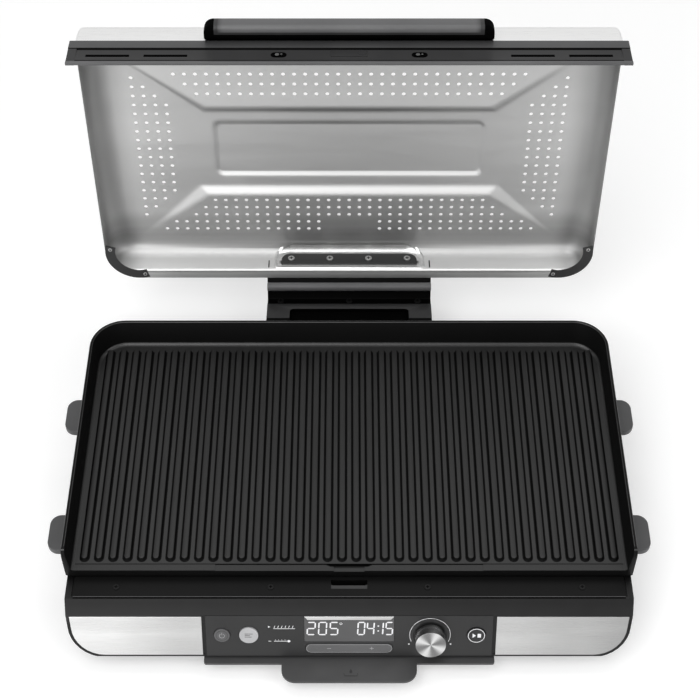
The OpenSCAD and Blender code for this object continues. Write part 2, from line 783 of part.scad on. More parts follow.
// Lid pieces, all drawn closed. The pan has a rear flange, walls with round feet and an open top.
module pan_solid(inset) {
    half = lid_w / 2 - inset;
    top = lid_z + lid_h - inset;
    rear = plate_back - flange_back - inset;
    front = plate_back - lid_d + inset;
    intersection() {
        translate([0, 0, lid_z - over]) linear_extrude(lid_h + 2 * over)
            plan(2 * half, front, rear, 3, 24);
        along(front - over, rear + over) polygon(concat(
            [[half, lid_z - over]],
            arc(half - lid_side_r, top - lid_side_r, lid_side_r, 0, 90),
            arc(-half + lid_side_r, top - lid_side_r, lid_side_r, 90, 180),
            [[-half, lid_z - over]]
        ));
        across(2 * half + 2) polygon(concat(
            [[rear, lid_z - over]],
            arc(rear - lid_rear_r, top - lid_rear_r, lid_rear_r, 0, 90),
            arc(front + lid_fillet, top - lid_fillet, lid_fillet, 90, 180),
            [[front, lid_z - over]]
        ));
    }
}

module lid_pan() color("#bdbdbd") opened() {
    face_y0 = plate_back - face_w1;
    face_y1 = plate_back - face_w0;
    difference() {
        union() {
            difference() {
                pan_solid(0);
                box(-lid_w, lid_w, plate_back - lid_d - 5, plate_back, lid_z - 5, lid_z);
            }
            translate([0, 0, lid_z]) linear_extrude(sheet)
                plan(lid_w, plate_back - 60, plate_back, 0.01, 33);
            // the pocket, pressed outward at the rear fillet for the arm's flange
            along(plate_back - flange_back - lid_rear_r, plate_back - flange_back) rear_pocket(sheet);
        }
        pan_solid(sheet);
        along(plate_back - flange_back - lid_rear_r - over, plate_back - flange_back - sheet) rear_pocket(0);
        translate([0, 0, lid_z + lid_h - 5]) linear_extrude(10)
            plan(2 * face_x, face_y0, face_y1, 12, 12);
        guard_holes();
        for (x = backing_xs) translate([x, plate_back, backing_z]) rotate([90, 0, 0])
            cylinder(r = 2, h = 40, center = true);
        for (x = handle_screw_xs) translate([x, plate_back - lid_d, handle_screw_z])
            rotate([90, 0, 0]) cylinder(r = 1.8, h = 10, center = true);
    }
    // the flange widens at the rear corners, where the guards are screwed on
    both_sides() difference() {
        translate([lid_w / 2 - guard_r, plate_back - guard_r, lid_z]) linear_extrude(sheet)
            guard_outline(guard_r - sheet / 2);
        guard_holes();
    }
}

backing_x = pocket_w / 2 - 15;
backing_xs = [-backing_x, -backing_x / 3, backing_x / 3, backing_x];
backing_z = lid_z + 14;

// The pocket's outline from behind: flat below, with round upper corners
module rear_pocket(grow) {
    half = pocket_w / 2 + grow - 2.5;
    round_r = 15;
    top = lid_z + pocket_top + grow - round_r;
    polygon(concat(
        [[half, lid_z + 4]],
        arc(half - round_r, top, round_r, 0, 90),
        arc(-half + round_r, top, round_r, 90, 180),
        [[-half, lid_z + 4]]
    ));
}

// One pressed wedge on the face: its outer edge is flush and its inner edge stands inward.
// w_out and w_in are the edges' places from the lid's rear, and w_foot is where the wedge ends.
module wedge(w_out, w_in, w_foot, x_out, x_in, x_foot, lift) {
    z = lid_z + lid_h - sheet;
    points = [
        [-x_out, plate_back - w_out, z + lift], [x_out, plate_back - w_out, z + lift],
        [x_foot, plate_back - w_foot, z + lift], [-x_foot, plate_back - w_foot, z + lift],
        [-x_in, plate_back - w_in, z + lift - emboss], [x_in, plate_back - w_in, z + lift - emboss]
    ];
    faces = w_in > w_out
        ? [[0, 1, 2, 3], [0, 4, 5, 1], [3, 2, 5, 4], [0, 3, 4], [1, 5, 2]]
        : [[3, 2, 1, 0], [1, 5, 4, 0], [4, 5, 2, 3], [4, 3, 0], [2, 5, 1]];
    polyhedron(points, faces);
}

module both_wedges(lift) {
    wedge(face_w0 + 2, face_w0 + 57, face_w0 + 67, face_x - 8, face_x - 79, face_x - 70, lift);
    wedge(face_w1 - 12, face_w1 - 69, face_w1 - 73, face_x - 3, face_x - 83, face_x - 78, lift);
}

module lid_face() color("#b5b5b5") opened() difference() {
    z0 = lid_z + lid_h - sheet;
    tray_z = 1.3;
    mid_x = face_x - 88;
    union() {
        translate([0, 0, z0]) linear_extrude(sheet)
            plan(2 * face_x, plate_back - face_w1, plate_back - face_w0, 12, 12);
        both_wedges(0);
        translate([0, 0, z0 + sheet]) linear_extrude(tray_z)
            plan(2 * mid_x, plate_back - face_w1 + 87, plate_back - face_w0 - 81, 6, 6);
    }
    both_wedges(sheet);
    translate([0, 0, z0 - over]) linear_extrude(tray_z + over)
        plan(2 * mid_x - 2, plate_back - face_w1 + 88, plate_back - face_w0 - 82, 5, 5);
    perforations(z0 - 6);
}

// Counts of the rows and columns of holes in the lid's bands
front_rows = 3;
rear_rows = 5;
side_cols = 4;
side_count = floor((face_w1 - face_w0 - 54) / hole_pitch);
front_half = floor((face_x - 70) / hole_pitch);
rear_half = floor((face_x - 79) / hole_pitch);

module hole_at(x, w, z) {
    translate([x, plate_back - w, z]) cylinder(r = hole_r, h = 12, $fn = 16);
}

module perforations(z) {
    // the front band widens towards the front
    for (row = [0:front_rows - 1], k = [-front_half - row:front_half + row])
        hole_at(k * hole_pitch, face_w1 - 52.7 + 10.8 * row, z);
    // the rear band widens towards the rear, and its last two rows leave out the middle
    for (row = [0:rear_rows - 1], k = [-rear_half - row - 1:rear_half + row + 1])
        if (row < 3 ? abs(k) <= rear_half + row : abs(k) > 2) hole_at(k * hole_pitch, face_w0 + 50.2 - 9.85 * row, z);
    // each side has columns that get shorter towards the middle
    for (side = [-1, 1], col = [0:side_cols - 1], k = [col:side_count - 1 - col])
        hole_at(side * (face_x - 12.9 - col * hole_pitch), face_w0 + 28.9 + 10.45 * k, z);
}

// Black guards that wrap the lid's rear corners below its flange
guard_r = 33;
guard_w = 10;

guard_angles = [-11, 101];

module guard_outline(r) {
    polygon(concat(
        arc(0, 0, r, -18, 108, 16),
        arc(0, 0, guard_r - guard_w, 108, -18, 16)
    ));
}

module guard_holes() {
    both_sides() translate([lid_w / 2 - guard_r, plate_back - guard_r, lid_z - 5])
        for (a = guard_angles) rotate(a) translate([guard_r - guard_w / 2, 0]) cylinder(r = 1.2, h = 10);
}

module corner_guards() color("#4c4c4c") opened() difference() {
    both_sides() translate([lid_w / 2 - guard_r, plate_back - guard_r, lid_z - guard_t])
        linear_extrude(guard_t) guard_outline(guard_r);
    guard_holes();
}

module guard_screws() color("#9b9b9b") opened() both_sides() for (a = guard_angles)
    translate([lid_w / 2 - guard_r, plate_back - guard_r, lid_z - guard_t]) rotate(a)
        translate([guard_r - guard_w / 2, 0, 0]) rotate([180, 0, 0]) screw(2, 0.5, 1.2, 2.6);

// The dark skirt that closes the plate's open front
skirt_y0 = plate_back - lid_d - 0.4;
skirt_y1 = skirt_y0 + skirt_t;
skirt_z0 = lid_z - skirt_drop;
cheek_t = 8;
skirt_wall = 2.5;
vent_xs = [base_w / 2 - 87.5, base_w / 2 - 35.5];
skirt_screw_xs = [-71, 71];
skirt_half = base_w / 2 + 1 - cheek_t;

module front_skirt() color("#4b4b4b") opened() difference() {
    union() {
        box(-skirt_half, skirt_half, skirt_y0, skirt_y0 + skirt_wall, skirt_z0, lid_z - 0.05);
        box(-skirt_half, skirt_half, skirt_y0 - 1, skirt_y1, lid_z - 10.5, lid_z - 0.05);
        // thicker patches behind the slots, the screws and the plug
        for (side = [-1, 1], x = vent_xs)
            box(side * x - 21, side * x + 21, skirt_y0, skirt_y0 + 6, lid_z - 27, lid_z - 10);
        for (x = skirt_screw_xs)
            box(x - 7, x + 7, skirt_y0, skirt_y1, lid_z - 27, lid_z - 10);
    }
    // groove between the bands
    box(-skirt_half - over, skirt_half + over, skirt_y0 - 2, skirt_y0 + 0.6, skirt_z0 + 5, skirt_z0 + 5.8);
    // vent slots
    for (side = [-1, 1], x = vent_xs)
        box(side * x - 19.5, side * x + 19.5, skirt_y0 - 2, skirt_y0 + 4, lid_z - 23.6, lid_z - 21.1);
    // screw recesses and the plug's seat
    for (x = skirt_screw_xs) translate([x, skirt_y0, lid_z - 20]) rotate([90, 0, 0]) {
        translate([0, 0, -2]) cylinder(r = 4, h = 5);
        translate([0, 0, -6.5]) cylinder(r = 1.6, h = 8);
    }
    box(-16.6, 16.6, skirt_y0 - 2, skirt_y0 + 0.9, lid_z - 23.6, lid_z - 13.4);
}

module skirt_cheeks() color("#4f4f4f") opened() both_sides()
    translate([skirt_half + 0.1, 0, 0]) rotate([90, 0, 90]) linear_extrude(cheek_t - 0.1) polygon([
        [skirt_y0 - 1, lid_z - 0.05],
        [skirt_y1 + 1, lid_z - 0.05],
        [skirt_y1 + 1, lid_z - 22],
        [skirt_y0 + skirt_wall, skirt_z0],
        [skirt_y0 + 0.5, skirt_z0]
    ]);

module skirt_screws() color("#101010") opened() for (x = skirt_screw_xs)
    translate([x, skirt_y0 + 2, lid_z - 20]) rotate([90, 0, 0]) screw(3, 1.4, 1.6, 4);

module skirt_plug() color("#565656") opened() {
    box(-16.5, 16.5, skirt_y0, skirt_y0 + 0.9, lid_z - 23.5, lid_z - 13.5);
    translate([12, skirt_y0, lid_z - 18.5]) rotate([90, 0, 0]) cylinder(r = 3, h = 0.8);
}

// The handle, a long bar on the pan's front wall, hollowed below for the fingers
module lid_handle() color("#5c5c5c") opened() difference() {
    y1 = plate_back - lid_d - 0.02;
    y0 = y1 - handle_reach;
    z0 = lid_z - 6;
    z1 = lid_z + 13;
    intersection() {
        across(handle_w) polygon(concat(
            [[y1, lid_z + 7]],
            [[y1, z1 - 3]],
            [[y1 - 3, z1]],
            arc(y0 + 8, z1 - 8, 8, 90, 180),
            arc(y0 + 3.5, z0 + 3.5, 3.5, 180, 270),
            arc(y1 - 2.5, z0 + 0.8, handle_reach - 8.4, 175, 85, 10)
        ));
        translate([0, 0, z0 - over]) linear_extrude(z1 - z0 + 2 * over)
            plan(handle_w, y0, y1 + 1, 9, 0.01);
    }
    for (x = handle_screw_xs) translate([x, y1 + over, handle_screw_z]) rotate([90, 0, 0])
        cylinder(r = 1.8, h = 11);
}

handle_screw_x = handle_w / 2 - 31;
handle_screw_xs = [-handle_screw_x, 0, handle_screw_x];
handle_screw_z = lid_z + 9.5;

module handle_screws() color("#9b9b9b") opened() for (x = handle_screw_xs)
    translate([x, plate_back - lid_d + sheet, handle_screw_z]) rotate([-90, 0, 0])
        screw(3.4, 1.6, 1.8, 11);

// The hinge arm, a gooseneck from the pin up behind the closed lid to its rear wall
function arm_pt(y, z) = [plate_back + y, rim_h + z];

module arm_side() {
    polygon([
        arm_pt(15, -axis_drop), arm_pt(15.2, -43.8), arm_pt(17.3, -20), arm_pt(arm_step, -19),
        arm_pt(arm_step, -9), arm_pt(12, -5), arm_pt(0.5, 1.2), arm_pt(0.5, bracket_z),
        arm_pt(29 - bracket_z, bracket_z), arm_pt(30, -1),
        arm_pt(35, -20), arm_pt(39, -50), arm_pt(axis_back + hub_r, -axis_drop)
    ]);
    translate(arm_pt(axis_back, -axis_drop)) circle(r = hub_r);
    translate(arm_pt(7, -5.3)) circle(r = 4.5);
}

arm_step = 20.8;
bracket_z = 3.8;
arm_screw_x = arm_w / 2 - 13.7;
arm_screw_xs = [-arm_screw_x, 0, arm_screw_x];
arm_screw_z = rim_h - 13;
window_x = arm_w / 2 - 23.7;

// The window in the arm's front face, drawn smaller by the stated amount
module arm_window(inset) {
    x = window_x - inset;
    polygon(concat(
        arc(x - 4, rim_h - 32.6 - inset, 4, 0, 90, 4),
        arc(-x + 4, rim_h - 32.6 - inset, 4, 90, 180, 4),
        [[-x, rim_h - 52 + inset]],
        [[x, rim_h - 52 + inset]]
    ));
}

module hinge_arm() color("#1a1a1a") opened() difference() {
    across(arm_w) arm_side();
    translate([-arm_w, axis_y, axis_z]) rotate([0, 90, 0]) cylinder(r = pin_r + bore_gap, h = 2 * arm_w);
    // room for the springs
    both_sides() translate([spring_x0, axis_y, axis_z]) rotate([0, 90, 0])
        cylinder(r = hub_r + 1, h = spring_x1 - spring_x0);
    along(plate_back + 5, plate_back + 22) arm_window(0);
    for (x = arm_screw_xs) translate([x, plate_back + arm_step, arm_screw_z]) rotate([90, 0, 0])
        cylinder(r = 1.6, h = 16, center = true);
}

// The bracket above the arm, which the screws from the pocket clamp to the lid's rear wall
module arm_bracket() color("#1a1a1a") opened() difference() {
    across(arm_w) polygon([
        arm_pt(-9.6, bracket_z), arm_pt(-9.6, 24), arm_pt(-6, 24), arm_pt(14, 15),
        arm_pt(29 - bracket_z, bracket_z)
    ]);
    for (x = backing_xs) translate([x, plate_back, backing_z]) rotate([90, 0, 0])
        cylinder(r = 2, h = 30, center = true);
}

module hinge_arm_cover() color("#0c0c0c") opened()
    along(plate_back + 20.3, plate_back + 21.9) arm_window(seat_gap);

module arm_screws() color("#555555") opened() for (x = arm_screw_xs)
    translate([x, plate_back + arm_step, arm_screw_z]) rotate([90, 0, 0]) screw(3.2, 1.6, 1.6, 6);

// The dark plate on the pocket's floor, which takes the arm's screws
backing_y = plate_back - flange_back - sheet;
backing_t = 1.6;

module backing_plate() color("#3d3d3d") opened() difference() {
    along(backing_y - backing_t, backing_y) polygon(concat(
        [[backing_x + 10, lid_z + 7]],
        arc(backing_x, lid_z + 12.8, 10, 0, 90),
        arc(-backing_x, lid_z + 12.8, 10, 90, 180),
        [[-backing_x - 10, lid_z + 7]]
    ));
    for (x = backing_xs) translate([x, plate_back, backing_z]) rotate([90, 0, 0])
        cylinder(r = 2, h = 60, center = true);
}

module backing_screws() color("#c2c2c2") opened() for (x = backing_xs)
    translate([x, backing_y - backing_t, backing_z]) rotate([90, 0, 0]) screw(3.4, 1.6, 2, 14);

base_tub();
front_housing();
trough_panel();
trough_screws();
trim_plate_left();
trim_plate_right();
control_fascia();
display_window();
display_strip();
display_module();
dial_ring();
control_board();
button_switches();
dial_encoder();
dial_shaft();
dial_core();
dial_cap();
power_button();
mode_button();
start_button();
selector_bar();
drain_chute();
reflector_pan();
heating_element();
element_clips();
plate_probe();
thermal_fuse();
power_board();
wiring_harness();
mains_inlet();
tray_rails();
rubber_feet();
base_screws();
hinge_block();
hinge_pin();
hinge_springs();
hinge_block_screws();
grill_plate();
lift_tabs();
drip_tray();
tray_pull();
lid_pan();
lid_face();
corner_guards();
guard_screws();
front_skirt();
skirt_cheeks();
skirt_screws();
skirt_plug();
lid_handle();
handle_screws();
hinge_arm();
arm_bracket();
hinge_arm_cover();
arm_screws();
backing_plate();
backing_screws();
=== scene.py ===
"""Looks for an electric indoor grill with a hinged perforated lid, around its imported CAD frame."""
import json
import math
import bmesh
import bpy
from mathutils import Matrix, Vector
from mathutils.geometry import delaunay_2d_cdt


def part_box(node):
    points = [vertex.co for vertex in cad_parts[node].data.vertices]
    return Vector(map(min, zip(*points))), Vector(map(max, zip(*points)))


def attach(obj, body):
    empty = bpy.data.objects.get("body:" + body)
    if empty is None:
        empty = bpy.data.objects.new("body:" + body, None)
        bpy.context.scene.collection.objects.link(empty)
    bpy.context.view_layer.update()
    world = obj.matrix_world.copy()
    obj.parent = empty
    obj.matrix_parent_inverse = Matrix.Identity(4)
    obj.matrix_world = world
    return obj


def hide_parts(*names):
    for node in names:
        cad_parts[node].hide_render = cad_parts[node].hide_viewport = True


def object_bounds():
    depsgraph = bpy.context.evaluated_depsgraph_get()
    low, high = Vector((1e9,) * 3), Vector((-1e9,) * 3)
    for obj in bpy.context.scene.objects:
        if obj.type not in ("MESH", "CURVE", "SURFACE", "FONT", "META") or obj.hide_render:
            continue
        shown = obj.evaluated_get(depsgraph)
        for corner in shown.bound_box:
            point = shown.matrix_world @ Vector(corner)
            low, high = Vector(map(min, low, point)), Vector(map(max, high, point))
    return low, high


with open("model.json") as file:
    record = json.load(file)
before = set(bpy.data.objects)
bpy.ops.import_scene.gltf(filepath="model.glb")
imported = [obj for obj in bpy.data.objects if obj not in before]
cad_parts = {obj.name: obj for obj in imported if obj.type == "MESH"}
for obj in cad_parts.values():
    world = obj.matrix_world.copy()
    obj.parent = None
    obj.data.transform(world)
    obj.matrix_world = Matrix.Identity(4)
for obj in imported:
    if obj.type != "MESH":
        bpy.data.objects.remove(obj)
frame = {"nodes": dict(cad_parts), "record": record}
cad_lo, cad_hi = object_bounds()
NODES = frame["nodes"]
MM = 0.001

# Places: the plate's box comes from the CAD, and the hinge, lid and panel stand as far from it as there
plate_lo, plate_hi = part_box("grill_plate")
RIM = plate_hi.z
BACK = plate_hi.y
FRONT = plate_lo.y
OPEN = math.radians(95.3)
AXIS_BEHIND, AXIS_DROP = 27.9, 63.3
AXIS = Vector((0, BACK + AXIS_BEHIND * MM, RIM - AXIS_DROP * MM))
LID_GAP = 2
LID_Z = RIM + LID_GAP * MM
LEAN = math.radians(22)
PANEL_AHEAD, PANEL_DROP = 33, 49
UPRIGHT = Matrix.Rotation(math.radians(90), 4, "X")
PANEL = (Matrix.Translation((0, FRONT - PANEL_AHEAD * MM, RIM - PANEL_DROP * MM))
         @ Matrix.Rotation(math.radians(90) - LEAN, 4, "X"))
LID = Matrix.Translation(AXIS) @ Matrix.Rotation(-OPEN, 4, "X") @ Matrix.Translation(-AXIS)
LID_TURN = LID.to_3x3()
HOME = Matrix.Identity(4)

# Driving sizes, in millimetres
PLATE_HALF = 250.0
BASIN_DEPTH = 28.5
PLATE_DEPTH = 36.7
PLATE_STEP = 6.2
RIB_COUNT, RIB_PITCH = 38, 12.63
LIP_DROP, DECK_DROP = 39.5, 41.4
LID_HALF, LID_DEPTH, LID_HEIGHT = 249.0, 286.0, 31.0
SHEET = 1.2
EMBOSS = 3.2
HOLE_R, PITCH = 1.95, 10.41
POCKET_TOP = 29.8
HANDLE_HALF, HANDLE_REACH = 131, 20
SKIRT_HALF, SKIRT_DROP = 253, 34.5
ARM_HALF = 84.7
SPRINGS = (28, 62)
DIAL_X, CONTROL_Y, SELECTOR_Y = 71.2, -21, -35.5
POWER_X, MODE_X, START_X = -112, -88.4, 112


def on_wall(forward, z):
    """A frame on an upright wall, forward mm ahead of the plate's back: x runs right and y runs up."""
    return Matrix.Translation((0, BACK - forward * MM, z)) @ UPRIGHT


# Materials
class Nodes:
    """A short way to write a material's nodes."""
    made = {}

    def __init__(self, name):
        Nodes.made[name] = self
        self.mat = bpy.data.materials.new(name)
        self.mat.use_nodes = True
        self.tree = self.mat.node_tree
        self.tree.nodes.clear()
        self.out = self.tree.nodes.new("ShaderNodeOutputMaterial")
        self.bsdf = self.tree.nodes.new("ShaderNodeBsdfPrincipled")
        self.tree.links.new(self.bsdf.outputs[0], self.out.inputs["Surface"])
        self.coord = self.tree.nodes.new("ShaderNodeTexCoord").outputs["Object"]

    def link(self, a, b):
        self.tree.links.new(a, b)

    def node(self, kind, **sockets):
        n = self.tree.nodes.new(kind)
        for key, value in sockets.items():
            key = key.replace("_", " ")
            if hasattr(value, "is_output"):
                self.link(value, n.inputs[key])
            else:
                n.inputs[key].default_value = value
        return n

    def scaled(self, x, y, z, turn=(0, 0, 0)):
        n = self.node("ShaderNodeMapping")
        n.inputs["Scale"].default_value = (x, y, z)
        n.inputs["Rotation"].default_value = turn
        self.link(self.coord, n.inputs["Vector"])
        return n.outputs[0]

    def noise(self, scale, vector=None, detail=3.0, rough=0.5):
        n = self.node("ShaderNodeTexNoise", Scale=scale, Detail=detail, Roughness=rough)
        self.link(vector if vector is not None else self.coord, n.inputs["Vector"])
        return n.outputs["Fac"]

    def spread(self, value, lo, hi, a=0.3, b=0.7):
        n = self.node("ShaderNodeMapRange")
        self.link(value, n.inputs["Value"])
        for key, v in (("From Min", a), ("From Max", b), ("To Min", lo), ("To Max", hi)):
            n.inputs[key].default_value = v
        return n.outputs[0]

    def tint(self, value, dark, light):
        n = self.tree.nodes.new("ShaderNodeMix")
        n.data_type = "RGBA"
        self.link(value, n.inputs[0])
        n.inputs[6].default_value = (*dark, 1)
        n.inputs[7].default_value = (*light, 1)
        return n.outputs[2]

    def math(self, op, a, b=0.0):
        n = self.tree.nodes.new("ShaderNodeMath")
        n.operation = op
        for i, v in enumerate((a, b)):
            if hasattr(v, "is_output"):
                self.link(v, n.inputs[i])
            else:
                n.inputs[i].default_value = v
        return n.outputs[0]

    def bump(self, height, distance, strength=0.3, normal=None):
        n = self.node("ShaderNodeBump", Distance=distance, Strength=strength)
        self.link(height, n.inputs["Height"])
        if normal is not None:
            self.link(normal, n.inputs["Normal"])
        return n.outputs[0]

    def dot(self, value, vector):
        n = self.tree.nodes.new("ShaderNodeVectorMath")
        n.operation = "DOT_PRODUCT"
        n.inputs[1].default_value = vector
        self.link(value, n.inputs[0])
        return n.outputs["Value"]

    def times(self, value):
        """Multiplies the base colour by a value."""
        mix = self.tree.nodes.new("ShaderNodeMix")
        mix.data_type = "RGBA"
        mix.blend_type = "MULTIPLY"
        mix.inputs[0].default_value = 1.0
        self.link(self.bsdf.inputs["Base Color"].links[0].from_socket, mix.inputs[6])
        self.link(value, mix.inputs[7])
        self.link(mix.outputs[2], self.bsdf.inputs["Base Color"])


def around(base, part):
    """A colour a little darker and one a little lighter than base."""
    return tuple(c * (1 - part) for c in base), tuple(min(1, c * (1 + part)) for c in base)


def plastic(name, grey, rough=0.4, grain=2600, depth=0.00006, spread=0.12, coat=0.0, spec=0.3):
    """Moulded plastic: a fine spark-eroded grain, slow changes of tone, and faintly varied gloss."""
    m = Nodes(name)
    base = grey if isinstance(grey, tuple) else (grey, grey, grey * 1.02)
    slow = m.noise(14, detail=4)
    fine = m.noise(grain, detail=2)
    col = m.tint(m.spread(slow, 0, 1), *around(base, spread))
    m.link(col, m.bsdf.inputs["Base Color"])
    m.link(m.spread(m.noise(60, detail=5), rough - 0.05, rough + 0.06), m.bsdf.inputs["Roughness"])
    m.link(m.bump(fine, depth, 0.35), m.bsdf.inputs["Normal"])
    m.bsdf.inputs["Specular IOR Level"].default_value = spec
    if coat:
        m.bsdf.inputs["Coat Weight"].default_value = coat
        m.bsdf.inputs["Coat Roughness"].default_value = 0.12
    return m.mat


def steel(name, grey, rough=0.28, run="X", streak=0.1, depth=0.00002, aniso=0.4, metallic=1.0):
    """Brushed sheet steel: long fine scratches along one axis, cloudier gloss below them."""
    m = Nodes(name)
    stretch = {"X": (1, 90, 90), "Y": (90, 1, 90), "Z": (90, 90, 1)}[run]
    hair = m.noise(38, m.scaled(*stretch), detail=6, rough=0.65)
    band = m.noise(7, m.scaled(*[s ** 0.5 for s in stretch]), detail=3)
    base = (grey, grey, grey * 0.995)
    both = m.math("ADD", m.math("MULTIPLY", hair, 0.75), m.math("MULTIPLY", band, 0.25))
    col = m.tint(m.spread(both, 0, 1, 0.35, 0.65), *around(base, streak))
    m.link(col, m.bsdf.inputs["Base Color"])
    m.bsdf.inputs["Metallic"].default_value = metallic
    m.link(m.spread(both, rough - 0.07, rough + 0.07, 0.35, 0.65), m.bsdf.inputs["Roughness"])
    m.bsdf.inputs["Anisotropic"].default_value = aniso
    m.link(m.bump(hair, depth, 0.25), m.bsdf.inputs["Normal"])
    return m.mat


def spun(name, grey, centre, axis_turn, rough=0.2):
    """Spun metal: rings about a centre, with the wedge-shaped glints they give."""
    m = Nodes(name)
    place = m.node("ShaderNodeMapping")
    place.vector_type = "TEXTURE"
    place.inputs["Location"].default_value = centre
    place.inputs["Rotation"].default_value = axis_turn
    m.link(m.coord, place.inputs["Vector"])
    split = m.node("ShaderNodeSeparateXYZ", Vector=place.outputs[0])
    x, y = split.outputs[0], split.outputs[1]
    r = m.math("SQRT", m.math("ADD", m.math("MULTIPLY", x, x), m.math("MULTIPLY", y, y)))
    ring = m.node("ShaderNodeTexNoise", Scale=1.0, Detail=5.0, Roughness=0.7)
    ring.noise_dimensions = "1D"
    m.link(m.math("MULTIPLY", r, 9000), ring.inputs["W"])
    # Painted reflection: the wedge-shaped glints about the centre are painted into the base colour
    angle = m.math("ARCTAN2", y, x)
    wedge = m.math("COSINE", m.math("ADD", m.math("MULTIPLY", angle, 2), 0.9))
    glint = m.math("POWER", m.math("ABSOLUTE", wedge), 3)
    level = m.math("ADD", m.math("MULTIPLY", ring.outputs["Fac"], 0.35), m.math("MULTIPLY", glint, 0.65))
    col = m.tint(m.spread(level, 0, 1, 0.1, 0.8), (grey * 0.3,) * 3, (min(1, grey * 1.35),) * 3)
    m.link(col, m.bsdf.inputs["Base Color"])
    m.bsdf.inputs["Metallic"].default_value = 1.0
    m.link(m.spread(ring.outputs["Fac"], rough - 0.05, rough + 0.12), m.bsdf.inputs["Roughness"])
    m.link(m.bump(ring.outputs["Fac"], 0.00002, 0.4), m.bsdf.inputs["Normal"])
    return m.mat


def coating(name, grey, rough=0.36, spec=0.5, speck=0.25):
    """Dark non-stick coating: an even orange-peel skin with very fine specks."""
    m = Nodes(name)
    speckle = m.noise(3400, detail=2, rough=0.6)
    peel = m.noise(900, detail=2)
    cloud = m.noise(9, detail=4)
    level = m.math("ADD", m.math("MULTIPLY", speckle, 0.5), m.math("MULTIPLY", cloud, 0.5))
    col = m.tint(m.spread(level, 0, 1, 0.35, 0.65), *around((grey,) * 3, speck))
    m.link(col, m.bsdf.inputs["Base Color"])
    m.bsdf.inputs["Specular IOR Level"].default_value = spec
    m.link(m.spread(speckle, rough - 0.06, rough + 0.06), m.bsdf.inputs["Roughness"])
    m.link(m.bump(peel, 0.00008, 0.3, m.bump(speckle, 0.00003, 0.3)), m.bsdf.inputs["Normal"])
    return m.mat


M = {
    "black_plastic": plastic("black_plastic", 0.004, 0.45, spec=0.15),
    "front_plastic": plastic("front_plastic", 0.008, 0.36, spec=0.22),
    "trough_black": coating("trough_black", 0.003, 0.5, spec=0.12),
    "fascia_plastic": plastic("fascia_plastic", 0.02, 0.36, coat=0.1, spec=0.25),
    "window_plastic": plastic("window_plastic", 0.068, 0.22, depth=0.00001, coat=0.3),
    "trim_steel": steel("trim_steel", 0.5, 0.3, "X", 0.07),
    "bright_metal": steel("bright_metal", 0.5, 0.18, "X", 0.3),
    "dial_black": plastic("dial_black", 0.004, 0.3, coat=0.08, spec=0.15),
    "grey_button": plastic("grey_button", 0.1, 0.38),
    "silver_button": plastic("silver_button", 0.42, 0.3, coat=0.2),
    "dark_button": plastic("dark_button", 0.02, 0.32),
    "board": plastic("board", (0.02, 0.1, 0.045), 0.35),
    "part_black": plastic("part_black", 0.02, 0.4),
    "wire": plastic("wire", (0.2, 0.03, 0.03), 0.4),
    "reflector": steel("reflector", 0.6, 0.25, "Y"),
    "element": steel("element", 0.25, 0.45, "X", 0.2),
    "pin_steel": steel("pin_steel", 0.55, 0.3, "X"),
    "black_screw": coating("black_screw", 0.005, 0.4, spec=0.15),
    "rubber": plastic("rubber", 0.014, 0.7, 1800, 0.0001),
    "plate_coating": coating("plate_coating", 0.014, 0.4, spec=0.25),
    "grey_plastic": plastic("grey_plastic", 0.038, 0.42),
    "lid_steel": steel("lid_steel", 0.62, 0.5, "X", 0.02, aniso=0.0, metallic=0.85),
    "skirt_plastic": plastic("skirt_plastic", 0.032, 0.42, spec=0.22),
    # its grey stands for light on black plastic: a painted highlight
    "handle_plastic": plastic("handle_plastic", 0.1, 0.34, coat=0.2),
    "arm_black": coating("arm_black", 0.001, 0.4, spec=0.04),
    "tab_plastic": plastic("tab_plastic", 0.075, 0.42),
    "backing_dark": coating("backing_dark", 0.035, 0.4, spec=0.2),
    # also a painted highlight on the trough's lip and under the skirt's vents
    "skirt_light": plastic("skirt_light", 0.075, 0.38, spec=0.22),
    # a lighter copy of the skirt's plastic: painted highlight on its top corner
    "skirt_edge": plastic("skirt_edge", 0.1, 0.36),
    # a lighter copy of lid_steel for the shell's outside: painted highlight
    "lid_outer": steel("lid_outer", 0.92, 0.32, "X", 0.04, aniso=0.0, metallic=0.9),
    # a lighter copy of lid_steel: painted highlight on the rear pocket
    "lid_bright": steel("lid_bright", 0.8, 0.3, "X", 0.04, aniso=0.0),
    # painted shade on the handle
    "handle_dim": plastic("handle_dim", 0.022, 0.34, spec=0.3),
    # near black for painted shade: in slots, vents, screw recesses, the handle's recess and under the handle
    "void_and_shade_black": coating("void_and_shade_black", 0.0008, 0.8, spec=0.02),
    # painted highlight on the hinge arm's roll
    "arm_roll_highlight": plastic("arm_roll_highlight", 0.13, 0.34),
    # on the hinge arm's front face this dark grey stands for light on the black coating
    "arm_face": plastic("arm_face", 0.026, 0.4),
    # Painted light on the plate's coating: rib_flank and plate_wall paint shade on the ribs' flanks and the
    # basin's walls, and plate_edge paints highlights on its edges and is glossier too
    "rib_flank": coating("rib_flank", 0.0015, 0.6, spec=0.08),
    "plate_wall": coating("plate_wall", 0.0035, 0.45, spec=0.08),
    "plate_edge": coating("plate_edge", 0.02, 0.26, spec=0.4),
    "mark_white": plastic("mark_white", 0.8, 0.4, depth=0.00001, spread=0.03),
    "mark_grey": plastic("mark_grey", 0.34, 0.4, depth=0.00001, spread=0.05),
    "mark_dark": plastic("mark_dark", 0.015, 0.5, depth=0.00001, spread=0.05),
    "dial_metal": spun("dial_metal", 0.45, PANEL @ Vector((DIAL_X * MM, CONTROL_Y * MM, 0)),
                       (math.radians(90) - LEAN, 0, 0)),
}


